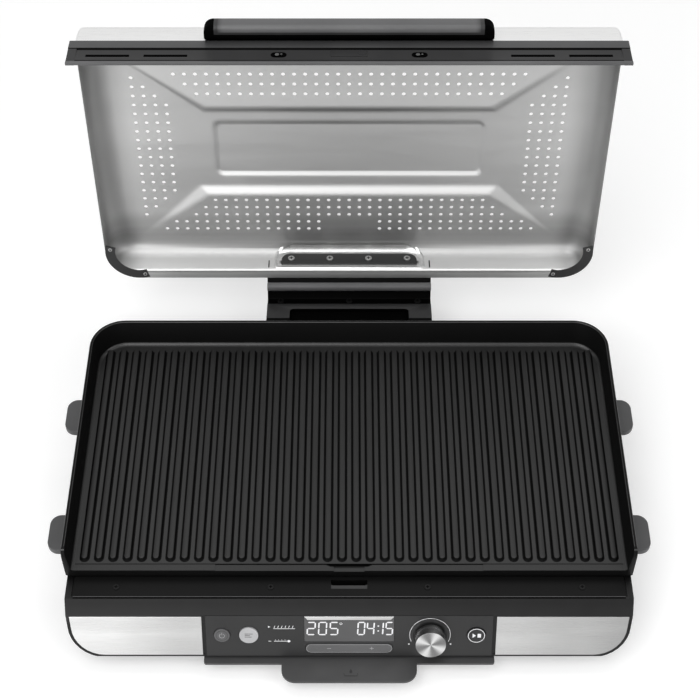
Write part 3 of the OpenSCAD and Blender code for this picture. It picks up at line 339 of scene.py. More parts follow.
def shade(name, frame_of, *ramps, lean=None):
    """Painted light and shade: slow changes of tone along a piece's own axes, in mm; lean also lifts faces
    that turn one way, a painted highlight.
    """
    m = Nodes.made[name]
    inv = frame_of.inverted()
    for row, fold, lo, hi, stops in ramps:
        value = m.math("ADD", m.dot(m.coord, inv[row][:3]), inv[row][3])
        if fold:
            value = m.math("ABSOLUTE", value)
        scale = m.node("ShaderNodeMapRange")
        scale.inputs["From Min"].default_value = lo * MM
        scale.inputs["From Max"].default_value = hi * MM
        m.link(value, scale.inputs["Value"])
        r = m.node("ShaderNodeValToRGB")
        r.color_ramp.interpolation = "EASE"
        while len(r.color_ramp.elements) < len(stops):
            r.color_ramp.elements.new(0.5)
        for e, (at, tone) in zip(r.color_ramp.elements, stops):
            e.position = at
            e.color = (tone, tone, tone, 1)
        m.link(scale.outputs[0], r.inputs[0])
        m.times(r.outputs[0])
    if lean:
        way, *ends = lean
        n = m.node("ShaderNodeMapRange")
        for key, v in zip(("From Min", "From Max", "To Min", "To Max"), ends):
            n.inputs[key].default_value = v
        m.link(m.dot(m.coord.node.outputs["Normal"], way), n.inputs["Value"])
        m.times(n.outputs[0])


# The lid's satin steel gets painted shade beside the rear fillet, at the sides and in front.
# A painted highlight brightens the pressed bands that face up.
X, Y = 0, 1
BACK_MM, FRONT_MM = BACK / MM, FRONT / MM
ALONG_LID = [
    (0, 0.8), (0.026, 0.85), (0.0295, 0.3), (0.0325, 0.35), (0.0343, 0.82), (0.04, 0.84), (0.046, 0.6),
    (0.053, 0.42), (0.062, 0.5), (0.084, 0.46), (0.11, 0.46), (0.13, 0.52), (0.16, 0.64), (0.24, 0.9),
    (0.6, 0.93), (0.7, 0.86), (0.8, 0.8), (1, 0.62)]
shade("lid_steel", LID,
      (Y, False, BACK_MM, BACK_MM - LID_DEPTH, ALONG_LID),
      (X, True, 0, PLATE_HALF, [(0, 0.96), (0.6, 1), (0.84, 1.04), (0.93, 0.8), (1, 0.75)]),
      lean=(LID_TURN @ Vector((0, -1, 0)), -0.5, 0.6, 0.55, 1.6))
# Outside, only the wall behind the handle is as bright as the photograph shows it
# Painted light: lid_outer is a lighter copy of the lid's steel, and this ramp keeps that painted highlight
# only on the wall behind the handle and darkens the rest
shade("lid_outer", LID, (Y, False, BACK_MM, BACK_MM - LID_DEPTH, [(0, 0.5), (0.9, 0.55), (0.97, 1), (1, 1)]))
# The trim plates catch the light from the left
shade("trim_steel", HOME, (X, False, -PLATE_HALF, PLATE_HALF, [
    (0, 1.32), (0.06, 1.3), (0.23, 0.95), (0.77, 0.98), (0.9, 0.82), (1, 0.68)]))
# Painted shade: the front housing darkens back towards the trough's lip
shade("front_plastic", HOME, (Y, False, FRONT_MM - 21, FRONT_MM - 34, [
    (0, 0.25), (0.25, 0.5), (0.8, 1.0), (1, 1.05)]))
# Painted highlight: the handle's grey top, light on black plastic, fades to near black at the ends
shade("handle_plastic", HOME, (X, True, 0, HANDLE_HALF, [
    (0, 1), (0.86, 1), (0.92, 0.25), (0.965, 0.03), (1, 0.03)]))

# CAD nodes keep their shape and get finishes
for sub in frame["record"]["subparts"]:
    node = NODES[sub["node"]]
    node.data.materials.clear()
    node.data.materials.append(M[sub["material_slot"]])

NODES["lift_tabs"].data.materials[0] = M["tab_plastic"]
NODES["backing_plate"].data.materials[0] = M["backing_dark"]
# Painted shade: the arm's cover, seen through its window, is made near black
NODES["hinge_arm_cover"].data.materials[0] = M["void_and_shade_black"]


def soften(node, width):
    """Small rounded edges on a CAD node: its vertices stay, and modifiers do the rest."""
    o = NODES[node]
    for name in ("custom_normal", "sharp_face", "sharp_edge"):
        if name in o.data.attributes:
            o.data.attributes.remove(o.data.attributes[name])
    o.data.polygons.foreach_set("use_smooth", [True] * len(o.data.polygons))
    weld = o.modifiers.new("weld", "WELD")
    weld.merge_threshold = 2e-6
    flat = o.modifiers.new("flat", "DECIMATE")
    flat.decimate_type = "DISSOLVE"
    flat.angle_limit = math.radians(0.8)
    b = o.modifiers.new("edges", "BEVEL")
    b.width = width
    b.segments = 2
    b.limit_method = "ANGLE"
    b.angle_limit = math.radians(28)
    b.harden_normals = False
    n = o.modifiers.new("normals", "WEIGHTED_NORMAL")
    n.keep_sharp = True


EDGES = {"base_tub": 0.0006, "front_housing": 0.0005, "tray_pull": 0.0006, "lift_tabs": 0.0009,
         "hinge_arm": 0.0008, "lid_handle": 0.0008}
for name in NODES:
    soften(name, EDGES.get(name, 0.0003))


# Mesh helpers
def place(obj, mats, body, slot, nodes=(), at=HOME, smooth=35):
    """Finishes a new piece: its place, material, shading, body and the CAD nodes it stands for; slot is not
    used.
    """
    obj.data.transform(at)
    for m in mats:
        if m not in obj.data.materials:
            obj.data.materials.append(M[m])
    obj.data.polygons.foreach_set("use_smooth", [True] * len(obj.data.polygons))
    obj.data.set_sharp_from_angle(angle=math.radians(smooth))
    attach(obj, body)
    if nodes:
        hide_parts(*nodes)
    return obj


def make(name, verts, faces, mark=None):
    mesh = bpy.data.meshes.new(name)
    mesh.from_pydata([tuple(v) for v in verts], [], faces)
    if mark:
        mesh.polygons.foreach_set("material_index", mark)
    mesh.update()
    obj = bpy.data.objects.new(name, mesh)
    bpy.context.scene.collection.objects.link(obj)
    return obj


def settle(obj):
    """Applies the modifiers into the mesh."""
    dg = bpy.context.evaluated_depsgraph_get()
    mesh = bpy.data.meshes.new_from_object(obj.evaluated_get(dg))
    obj.modifiers.clear()
    obj.data = mesh
    return obj


def bevel(obj, width, segments, angle):
    b = obj.modifiers.new("bevel", "BEVEL")
    b.width = width
    b.segments = segments
    b.limit_method = "ANGLE"
    b.angle_limit = math.radians(angle)
    b.harden_normals = False
    return settle(obj)


def carve(obj, tool, operation="DIFFERENCE"):
    m = obj.modifiers.new("carve", "BOOLEAN")
    m.object = tool
    m.operation = operation
    m.solver = "EXACT"
    settle(obj)
    bpy.data.objects.remove(tool)
    return obj


def loft(rings, cap_first=True, cap_last=True):
    """Verts and faces through rings of equal length."""
    n = len(rings[0])
    verts = [p for r in rings for p in r]
    faces = [(i * n + k, i * n + (k + 1) % n, (i + 1) * n + (k + 1) % n, (i + 1) * n + k)
             for i in range(len(rings) - 1) for k in range(n)]
    if cap_first:
        faces.append(tuple(reversed(range(n))))
    if cap_last:
        faces.append(tuple(range((len(rings) - 1) * n, len(rings) * n)))
    return verts, faces


def arc(cx, cy, r, a0, a1, n=8):
    return [(cx + r * math.cos(math.radians(a0 + (a1 - a0) * i / n)),
             cy + r * math.sin(math.radians(a0 + (a1 - a0) * i / n))) for i in range(n + 1)]


def prism(name, outline, z0, z1):
    """An outline in x and y pushed from z0 to z1, all in millimetres."""
    verts, faces = loft([[(x * MM, y * MM, z * MM) for x, y in outline] for z in (z0, z1)])
    return tidy(make(name, verts, faces))


def wall_prism(name, outline, y0, y1, z):
    """An outline on an upright wall at height z, pushed from y0 to y1 behind the plate's back."""
    o = prism(name, outline, y0, y1)
    o.data.transform(on_wall(0, z) @ Matrix.Scale(-1, 4, (0, 0, 1)))
    o.data.flip_normals()
    return o


def tidy(obj):
    bm = bmesh.new()
    bm.from_mesh(obj.data)
    bmesh.ops.remove_doubles(bm, verts=bm.verts, dist=1e-6)
    bmesh.ops.recalc_face_normals(bm, faces=bm.faces)
    bm.to_mesh(obj.data)
    bm.free()
    return obj


def join(name, objs):
    """One object out of several."""
    bm = bmesh.new()
    for o in objs:
        bm.from_mesh(o.data)
        bpy.data.objects.remove(o)
    mesh = bpy.data.meshes.new(name)
    bm.to_mesh(mesh)
    bm.free()
    obj = bpy.data.objects.new(name, mesh)
    bpy.context.scene.collection.objects.link(obj)
    return obj


# The grill plate
def plate():
    back, front, rim = BACK / MM, FRONT / MM, RIM / MM
    floor, foot = rim - BASIN_DEPTH, rim - PLATE_DEPTH
    land, lean, corner = 3.0, 2.4, 32

    def ring(inset, z, y0):
        """A U-shaped outline, open to the front; the rear wall leans more than the side walls."""
        deep = inset + max(inset - land, 0) * 0.5
        h, r = PLATE_HALF - inset, max(corner - inset, 3)
        pts = [(-h, y0)] + list(reversed(arc(-h + r, back - deep - r, r, 90, 180, 12)))
        pts += list(reversed(arc(h - r, back - deep - r, r, 0, 90, 12))) + [(h, y0)]
        return [(x * MM, y * MM, z * MM) for x, y in pts]

    # the outside skirt, the rounded rim, and the basin's wall and foot fillet
    ahead = front - 30
    rings = [ring(6, floor - 4.5, front + 3), ring(6, foot, front + 3), ring(0, foot, ahead)]
    outer_r, inner_r, foot_r = 1.2, 1.0, 3.4
    for i in range(5):
        a = math.radians(22.5 * i)
        rings.append(ring(outer_r * (1 - math.cos(a)), rim - outer_r + outer_r * math.sin(a), ahead))
    for i in range(5):
        a = math.radians(90 - 18 * i)
        c, up = math.cos(a), math.sin(a)
        rings.append(ring(land - inner_r + inner_r * c, rim - inner_r + inner_r * up, ahead))
    tilt = math.degrees(math.atan2(lean, BASIN_DEPTH)) * 0.6
    centre = land + lean + foot_r * 0.95
    for i in range(8):
        a = math.radians(180 - tilt + (90 + tilt) * i / 7)
        rings.append(ring(centre + foot_r * math.cos(a), floor + foot_r + foot_r * math.sin(a), ahead))
    body = tidy(make("plate_body", *loft(rings)))
    side = [(back + 9, foot - 9), (back + 9, rim + 9)]
    side += arc(front + 8, rim - 8, 8, 90, 180, 10) + [(front, foot - 9)]
    verts, faces = loft([[(x * MM, y * MM, z * MM) for y, z in side] for x in (-260, 260)])
    carve(body, tidy(make("cut", verts, faces)), "INTERSECT")
    # the drain notch, and the shallow step that leads to it
    for name, half, deep, bottom in (("notch", 13.5, 5.5, floor - 2), ("step", 118, PLATE_STEP, floor - 0.7)):
        outline = [(-half, front - 3), (half, front - 3), (half, front + deep), (-half, front + deep)]
        carve(body, prism(name, outline, bottom, rim))
    bevel(body, 0.7 * MM, 3, 35)
    place(body, ["plate_coating", "plate_wall", "plate_edge"], "plate", "plate_coating", ["grill_plate"])
    # Painted light: the floor keeps the coating, plate_wall paints shade on the walls and rim, and plate_edge
    # paints highlights on the foot fillet, the rim's edge and the front edge
    for f in body.data.polygons:
        z, up = f.center.z / MM, f.normal.z
        fillet = z < floor + 3 and up > 0.45
        rim_edge = z > rim - 1.4 and 0.25 < up < 0.9
        front_edge = z < floor + 0.2 and up > 0.2 and f.center.y / MM < front + 1
        if z < floor + 1 and up > 0.93:
            f.material_index = 0
        else:
            f.material_index = 2 if fillet or rim_edge or front_edge else 1


def ribs():
    """Straight ribs: a rounded top, steep flanks darkened with painted shade, a round front end."""
    floor = RIM / MM - BASIN_DEPTH
    y0, y1 = FRONT / MM + 13.1, BACK / MM - 17.5
    prof = [(4.75, -0.3), (4.6, 0.07), (3.75, 0.3), (3.3, 0.9), (2.85, 2.75), (2.5, 3.25), (1.9, 3.5)]
    flank, m = 5, len(prof)
    # the stations go along the left flank, round the front end and back along the right flank
    turn = [math.radians(a) for a in range(0, 181, 15)]
    path = [(-1, 0, y1)] + [(-math.cos(a), -math.sin(a), y0) for a in turn] + [(1, 0, y1)]
    verts, faces, mark = [], [], []
    for i in range(RIB_COUNT):
        cx = (i - (RIB_COUNT - 1) / 2) * RIB_PITCH
        base = len(verts)
        for ux, uy, y in path:
            for out, up in prof:
                verts.append(((cx + ux * out) * MM, (y + uy * out) * MM, (floor + up) * MM))
        for k in range(len(path) - 1):
            a, b = base + k * m, base + (k + 1) * m
            for j in range(m - 1):
                faces.append((a + j, b + j, b + j + 1, a + j + 1))
                mark.append(1 if j < flank else 0)
        last = base + (len(path) - 1) * m
        faces.append(tuple(base + k * m + m - 1 for k in range(len(path))))
        faces.append(tuple([base + j for j in range(m)] + [last + j for j in reversed(range(m))]))
        mark += [0, 1]
    o = make("plate_ribs", verts, faces, mark)
    bm = bmesh.new()
    bm.from_mesh(o.data)
    bmesh.ops.recalc_face_normals(bm, faces=bm.faces)
    bm.to_mesh(o.data)
    bm.free()
    place(o, ["plate_coating", "rib_flank"], "plate", "plate_coating")


plate()
ribs()


# The lid's pressed shell
def holes():
    """The holes' places, as x and the distance from the lid's rear: front rows, rear rows, side columns."""
    out = []
    for row in range(3):
        out += [(k * PITCH, 209.3 + 10.8 * row) for k in range(-14 - row, 15 + row)]
    for row in range(5):
        half = 13 + row + (row > 2)
        out += [(k * PITCH, 80.2 - 9.85 * row) for k in range(-half, half + 1) if row < 3 or abs(k) > 2]
    for side in (-1, 1):
        for col in range(4):
            out += [(side * (207.1 - col * PITCH), 58.9 + 10.45 * k) for k in range(col, 17 - col)]
    return out


def soft_min(a, b, k):
    h = max(k - abs(a - b), 0) / k
    return min(a, b) - h * h * k / 4


def wedge_depth(x, w, w_out, w_in, w_foot, x_out, x_in, x_foot):
    """How far a pressed wedge stands in at a place: three planes that meet at its deepest corners."""
    x = abs(x)
    f1 = (w - w_out) / (w_in - w_out)
    f2 = (w_foot - w) / (w_foot - w_in)
    dx, dw = x_foot - x_out, w_foot - w_out
    side = lambda px, pw: dx * (pw - w_out) - dw * (px - x_out)
    f3 = side(x, w) / side(x_in, w_in)
    k = 0.022
    f = soft_min(soft_min(f1, f2, k * 2), f3, k * 2)
    return -soft_min(-f, 0, k)


def face_height(x, w):
    """Depth of the face's inside relief at a place, in millimetres."""
    rear = wedge_depth(x, w, 32, 87, 97, 212, 141, 150)
    front = wedge_depth(x, w, 250, 193, 189, 217, 137, 142)
    d = EMBOSS * (rear + front)
    # the middle panel is pressed the other way, with a soft round border
    half_x, half_w, middle, r = 131, 31.5, LID_DEPTH / 2, 6
    qx, qw = abs(x) - half_x + r, abs(w - middle) - half_w + r
    out = math.hypot(max(qx, 0), max(qw, 0)) - r + min(max(qx, qw), 0)
    t = min(max(0.5 - out / 3.4, 0), 1)
    return d - 1.5 * t * t * (3 - 2 * t)


def lid_shell():
    wide, deep, high = LID_HALF, LID_DEPTH, LID_HEIGHT
    side_r, rear_r, front_r = 22.0, 15.0, 10.0
    n = 10

    def ring(ds, dr, df, zs, zr, zf, rr, rf):
        """A rounded outline with its own inset and height at the sides, rear and front."""
        hx, w0, w1 = wide - ds, dr, deep - df
        pts = []
        for cx, cw, r, a0 in ((hx - rr, w0 + rr, rr, 0), (-hx + rr, w0 + rr, rr, 90),
                              (-hx + rf, w1 - rf, rf, 180), (hx - rf, w1 - rf, rf, 270)):
            for i in range(n + 1):
                a = math.radians(a0 + 90 * i / n)
                c2 = math.cos(a) ** 2
                end = zr if a0 < 180 else zf
                pts.append((cx + r * math.cos(a), cw - r * math.sin(a), zs * c2 + end * (1 - c2)))
        return pts

    rings = [ring(0, 0, 0, 0, 0, 0, 33, 3), ring(0.1, 8.2, 0.02, 0.02, 0, 0.02, 25, 3),
             ring(0.12, 9.4, 0.03, 0.6, 0.5, 0.6, 24, 3), ring(0.13, 9.8, 0.04, 2, 2, 2, 24, 3)]
    steps = 10
    for i in range(steps + 1):
        a = math.radians(90 * i / steps)
        c, s = 1 - math.cos(a), math.sin(a)
        rings.append(ring(0.13 + side_r * c, 9.8 + rear_r * c, 0.04 + front_r * c,
                          high - side_r + side_r * s, high - rear_r + rear_r * s,
                          high - front_r + front_r * s, 24 - 14 * c, 3 + 7 * c))
    verts, faces = loft(rings, False, False)
    count = len(rings[0])
    base = len(verts) - count
    rim_loop = rings[-1]
    # the face: the last ring's inside, with a fine lattice and the holes' own circles
    pts = [Vector((x, w)) for x, w, z in rim_loop]
    edges = [(i, (i + 1) % count) for i in range(count)]
    spots = holes()
    for hx, hw in spots:
        first = len(pts)
        pts += [Vector(p) for p in arc(hx, hw, HOLE_R, 0, 337.5, 15)]
        edges += [(first + i, first + (i + 1) % 16) for i in range(16)]
    cell, cells = 12, {}
    for hx, hw in spots:
        cells.setdefault((int(hx // cell), int(hw // cell)), []).append((hx, hw))

    def near_hole(x, w, reach):
        gx, gw = int(x // cell), int(w // cell)
        return any((x - a) ** 2 + (w - b) ** 2 < reach ** 2
                   for ix in (-1, 0, 1) for iw in (-1, 0, 1) for a, b in cells.get((gx + ix, gw + iw), ()))

    step = 2.4
    x_in, w_a, w_b = wide - 0.13 - side_r, 9.8 + rear_r, deep - 0.04 - front_r
    for i in range(int(2 * x_in / step) + 1):
        for j in range(int((w_b - w_a) / step) + 1):
            x, w = -x_in + 1.7 + i * step, w_a + 1.7 + j * step
            if abs(x) > x_in - 1.2 or w > w_b - 1.2:
                continue
            if max(abs(x) - x_in + 10, 0) ** 2 + max(w_a + 10 - w, w - w_b + 10, 0) ** 2 > 8.8 ** 2:
                continue
            if not near_hole(x, w, 2.9):
                pts.append(Vector((x, w)))
    out_v, _, out_f, orig, _, _ = delaunay_2d_cdt(pts, edges, [list(range(count))], 1, 1e-5)
    index = {}
    for i, ids in enumerate(orig):
        on_rim = [k for k in ids if k < count]
        if on_rim:
            index[i] = base + on_rim[0]
        else:
            index[i] = len(verts)
            x, w = out_v[i]
            verts.append((x, w, high - face_height(x, w)))
    for f in out_f:
        cx = sum(out_v[k][0] for k in f) / len(f)
        cw = sum(out_v[k][1] for k in f) / len(f)
        if not near_hole(cx, cw, HOLE_R * 0.98):
            faces.append(tuple(index[k] for k in f))
    shell = make("lid_shell", [(x * MM, BACK - w * MM, LID_Z + z * MM) for x, w, z in verts], faces)
    tidy(shell)
    centre = Vector((0, BACK - 0.14, LID_Z + high * MM))
    top = min(shell.data.polygons, key=lambda p: (p.center - centre).length)
    if top.normal.z < 0:
        shell.data.flip_normals()
    thick = shell.modifiers.new("sheet", "SOLIDIFY")
    thick.thickness = SHEET * MM
    thick.offset = -1
    thick.material_offset = 1
    shell.data.materials.append(M["lid_outer"])
    shell.data.materials.append(M["lid_steel"])
    settle(shell)
    carve(shell, wall_prism("mouth", pocket_line(-0.4, POCKET_TOP, 2), -25.5, -5, LID_Z))
    place(shell, ["lid_outer", "lid_steel"], "lid", "lid_steel", ["lid_pan", "lid_face"], LID, 50)


def pocket_line(grow, top, bottom, r=17):
    """The rear pocket's outline in x and height over the lid's flange, with small lower corners."""
    h, t, b, q = 75.8 + grow, top + grow, bottom - grow, 4.5
    return (arc(h - r, t - r, r, 0, 90, 12) + arc(-h + r, t - r, r, 90, 180, 12)
            + arc(-h + q, b + q, q, 180, 270, 5) + arc(h - q, b + q, q, 270, 360, 5))


lid_shell()


def rear_pocket():
    """The seat pressed outward at the rear fillet: a bright lip, leaning sides and a flat floor."""
    fillet_r, fillet_w = 15.0, 24.8
    start, floor = LID_HEIGHT - fillet_r, 11.2

    def wall(n):
        """How far the fillet's inside stands from the lid's rear at height n."""
        reach = math.sqrt(max(fillet_r ** 2 - max(n - start, 0) ** 2, 0))
        return fillet_w - reach if n < 30.9 else fillet_w

    def ring(grow, lift, deep):
        out = []
        for x, n in pocket_line(grow, POCKET_TOP, 3.4):
            on = wall(n) + SHEET + lift
            out.append((x * MM, BACK - (on * (1 - deep) + floor * deep) * MM, LID_Z + min(n, 30.2) * MM))
        return out
    steps = ((2.6, -0.5, 0), (2.0, 0.25, 0), (1.3, 0.75, 0), (0.5, 0.8, 0), (-0.2, 0.35, 0.05),
             (-0.7, 0, 0.25), (-1.9, 0, 0.75), (-2.6, 0, 0.93), (-3.6, 0, 1), (-5, 0, 1))
    o = tidy(make("rear_pocket", *loft([ring(*step) for step in steps], False, True)))
    # lid_bright, a lighter copy of the lid's steel, paints a highlight over the whole pocket
    place(o, ["lid_bright"], "lid", "lid_steel", (), LID, 60)


rear_pocket()


# The handle
def handle():
    """A long bar with rounded ends, hollowed below for the fingers; its underside and ends are darker, with
    painted shadow and painted shade.
    """
    y1, z0, z1 = BACK / MM - LID_DEPTH - 0.02, LID_Z / MM - 6, LID_Z / MM + 13
    y0 = y1 - HANDLE_REACH
    prof = [(y1, LID_Z / MM + 7), (y1, z1 - 2.5)] + arc(y1 - 2.5, z1 - 2.5, 2.5, 0, 90, 4)[1:]
    prof += arc(y0 + 8, z1 - 8, 8, 90, 180, 10) + arc(y0 + 3.5, z0 + 3.5, 3.5, 180, 268, 8)
    prof += [(y1 - 13.6, z0 + 0.15), (y1 - 11.1, z0 + 0.3), (y1 - 8.2, z0 + 0.6)]
    prof += arc(y1 - 2, z0 + 1.6, 6, 185, 90, 10)
    zc = (z0 + z1) / 2
    ends = [0, 0.15, 0.6, 1.3, 2.3, 3.5, 5, 7, 9.5, 13]
    stations = [-HANDLE_HALF + d for d in ends] + [-60, 0, 60] + [HANDLE_HALF - d for d in reversed(ends)]
    plan_r, side_r, half_height = 9, 3.2, (z1 - z0) / 2
    rings = []
    for x in stations:
        d = HANDLE_HALF - abs(x)
        a = plan_r - math.sqrt(max(plan_r ** 2 - max(plan_r - d, 0) ** 2, 0))
        b = side_r - math.sqrt(max(side_r ** 2 - max(side_r - d, 0) ** 2, 0))
        sy, sz = 1 - a / HANDLE_REACH, 1 - b / half_height
        rings.append([(x * MM, (y1 - (y1 - y) * sy) * MM, (zc + (z - zc) * sz) * MM) for y, z in prof])
    o = tidy(make("handle_bar", *loft(rings)))
    # Painted shadow makes the finger recess and the ends' faces that do not turn up near black; handle_dim
    # paints shade on the rest of the ends and on the faces turned down
    for f in o.data.polygons:
        ahead, x, up = f.center.y / MM - y1, abs(f.center.x) / MM, f.normal.z
        if (ahead > -11 and up < 0.5) or (x > 122.2 and up < 0.6):
            f.material_index = 1
        elif x > 118.5 or (ahead > -13.5 and up < -0.8):
            f.material_index = 2
    place(o, ["handle_plastic", "void_and_shade_black", "handle_dim"], "lid", "handle_plastic", ["lid_handle"], LID, 40)


handle()


# The hinge arm
def hinge_arm():
    """The bent arm from the pin to the lid, with its window and room for the springs."""
    b, r = BACK / MM, RIM / MM
    side = [(15.2, -43.8), (17.3, -20), (20.8, -19), (20.8, -9), (12, -5)]
    roll = arc(7, -5.3, 4.5, 7.6, -244.3, 16)
    first = len(side)
    side += roll
    side += [(0.5, 1.2), (0.5, 3.8), (-9.6, 3.8), (-9.6, 24), (-6, 24)]
    side += [(14, 15), (30, -1), (35, -20), (39, -50)]
    side += arc(AXIS_BEHIND, -AXIS_DROP, 13, 0, -180, 18)
    n = len(side)
    rings = []
    for x in (-ARM_HALF, -ARM_HALF + 0.5, ARM_HALF - 0.5, ARM_HALF):
        rings.append([(x * MM, (b + y) * MM, (r + z) * MM) for y, z in side])
    # one black-coated arm with painted light: a painted highlight makes the roll grey, the face in front of
    # the window is a lit dark grey, and the rest is black, with painted shade in its recess
    tone = {first + 1 + i: 1 for i in range(13)}
    tone[0] = 2
    mark = [tone.get(i % n, 0) for i in range(3 * n)] + [0, 0]
    o = tidy(make("hinge_arm_skin", *loft(rings), mark))
    finish_and_painted_light = ["arm_black", "arm_roll_highlight", "arm_face"]
    for name in finish_and_painted_light:
        o.data.materials.append(M[name])
    window = [(-61, -52), (61, -52)] + arc(57, -32.6, 4, 0, 90, 5) + arc(-57, -32.6, 4, 90, 180, 5)
    carve(o, wall_prism("window", window, 5, 22, RIM))
    for sx in (-1, 1):
        x0, x1 = sorted((sx * SPRINGS[0], sx * SPRINGS[1]))
        ring = arc(0, 0, 14, 0, 352.5, 47)
        verts, faces = loft([[(x * MM, AXIS.y + u * MM, AXIS.z + v * MM) for u, v in ring] for x in (x0, x1)])
        carve(o, tidy(make("room", verts, faces)))
    bevel(o, 0.6 * MM, 2, 40)
    place(o, finish_and_painted_light, "lid", "arm_black", ["hinge_arm", "arm_bracket"], LID, 35)


hinge_arm()


# Marks on the panel, screw recesses
class Marks:
    """Thin printed or sunk shapes, gathered into one piece; flat places in millimetres."""

    def __init__(self):
        self.verts, self.faces = [], []

    def poly(self, pts, z, thick=0.1):
        n, b = len(pts), len(self.verts)
        for level in (z - 0.04, z + thick):
            self.verts += [(x * MM, y * MM, level * MM) for x, y in pts]
        self.faces += [tuple(b + n + i for i in range(n)), tuple(b + i for i in reversed(range(n)))]
        self.faces += [(b + i, b + (i + 1) % n, b + n + (i + 1) % n, b + n + i) for i in range(n)]

    def line(self, pts, width, z, closed=False):
        pts = [Vector(p) for p in pts]
        n = len(pts)
        sides = []
        for i, p in enumerate(pts):
            a = pts[i - 1] if i or closed else p
            b = pts[(i + 1) % n] if i < n - 1 or closed else p
            d = (b - a).normalized()
            q = Vector((-d.y, d.x)) * width / 2
            sides.append((p + q, p - q))
        for i in range(n if closed else n - 1):
            (a, b), (c, d) = sides[i], sides[(i + 1) % n]
            self.poly([b, d, c, a], z)

    def disc(self, x, y, r, z):
        self.poly(arc(x, y, r, 0, 345, 23), z)

    def box(self, x0, x1, y0, y1, z, thick=0.1):
        self.poly([(x0, y0), (x1, y0), (x1, y1), (x0, y1)], z, thick)

    def done(self, name, mat, body, slot, at=PANEL):
        o = tidy(make(name, self.verts, self.faces))
        return place(o, [mat], body, slot, (), at, 30)


SEGMENTS = {"0": "abcdef", "1": "bc", "2": "abdeg", "4": "bcfg", "5": "acdfg"}


def digit(marks, which, x, y, w, h, z):
    """One figure of the seven-bar display, its foot at x and y, leaning a little."""
    m, t, g = h / 2, 0.62, 0.3
    bars = {"a": ((0, h), (w, h)), "b": ((w, h), (w, m)), "c": ((w, m), (w, 0)), "d": ((0, 0), (w, 0)),
            "e": ((0, 0), (0, m)), "f": ((0, m), (0, h)), "g": ((0, m), (w, m))}
    for key in SEGMENTS[which]:
        (x0, y0), (x1, y1) = bars[key]
        if x0 == x1:
            lo, hi = sorted((y0, y1))
            lo, hi = lo + g, hi - g
            pts = [(x0, lo), (x0 + t, lo + t), (x0 + t, hi - t), (x0, hi), (x0 - t, hi - t), (x0 - t, lo + t)]
        else:
            lo, hi = x0 + g, x1 - g
            pts = [(lo, y0), (lo + t, y0 - t), (hi - t, y0 - t), (hi, y0), (hi - t, y0 + t), (lo + t, y0 + t)]
        marks.poly([(x + px + 0.05 * py, y + py) for px, py in pts], z)


def top_of(node):
    """How far a control's face stands out of the panel plane, in millimetres."""
    o, inv = NODES[node], PANEL.inverted()
    return max((inv @ (o.matrix_world @ v.co)).z for v in o.data.vertices) / MM


def display_marks():
    """The display's figures: a temperature with its ring, and a time."""
    z = top_of("display_window")
    foot, tall = -20.6, 13.4
    white = Marks()
    for i, c in enumerate("205"):
        digit(white, c, -37.0 + 10.0 * i, foot, 6.7, tall, z)
    white.line(arc(-7.2, -8.6, 1.0, 0, 345, 23), 0.45, z, True)
    for c, x in zip("0415", (7.4, 15.6, 23.6, 32.0)):
        digit(white, c, x, foot, 5.8, tall, z)
    for y in (-11.2, -16.6):
        white.disc(25.6, y, 0.75, z)
    white.done("display_digits", "mark_white", "base", "window_plastic")


def fascia_marks():
    """The scale round the dial, and two hints beside the display: bars of a grill and a small gauge."""
    z = 0.6
    face = Marks()
    face.line(arc(DIAL_X, CONTROL_Y, 17.9, -24, 204, 60), 0.42, z)
    for sx in (-1, 1):
        face.disc(DIAL_X + sx * 18.4, -31.2, 0.75, z)
    face.poly([(-71.2, -11.2), (-69.2, -12.2), (-71.2, -13.2)], z)
    for i in range(6):
        face.line([(-66 + 3.2 * i, -13.4), (-65.2 + 3.2 * i, -11.0)], 0.5, z)
    face.line([(-66.6, -14.2), (-47.6, -14.2)], 0.45, z)
    gauge_y = -28
    face.line([(-71.2, gauge_y), (-68.8, gauge_y)], 0.45, z)
    face.line([(-66.4, gauge_y), (-54.5, gauge_y)], 0.5, z)
    face.disc(-53.2, gauge_y, 1.3, z)
    for i in range(4):
        face.line([(-65 + 2.8 * i, gauge_y + 0.8), (-65 + 2.8 * i, gauge_y + 1.8)], 0.35, z)
    face.done("fascia_marks", "mark_white", "base", "fascia_plastic")


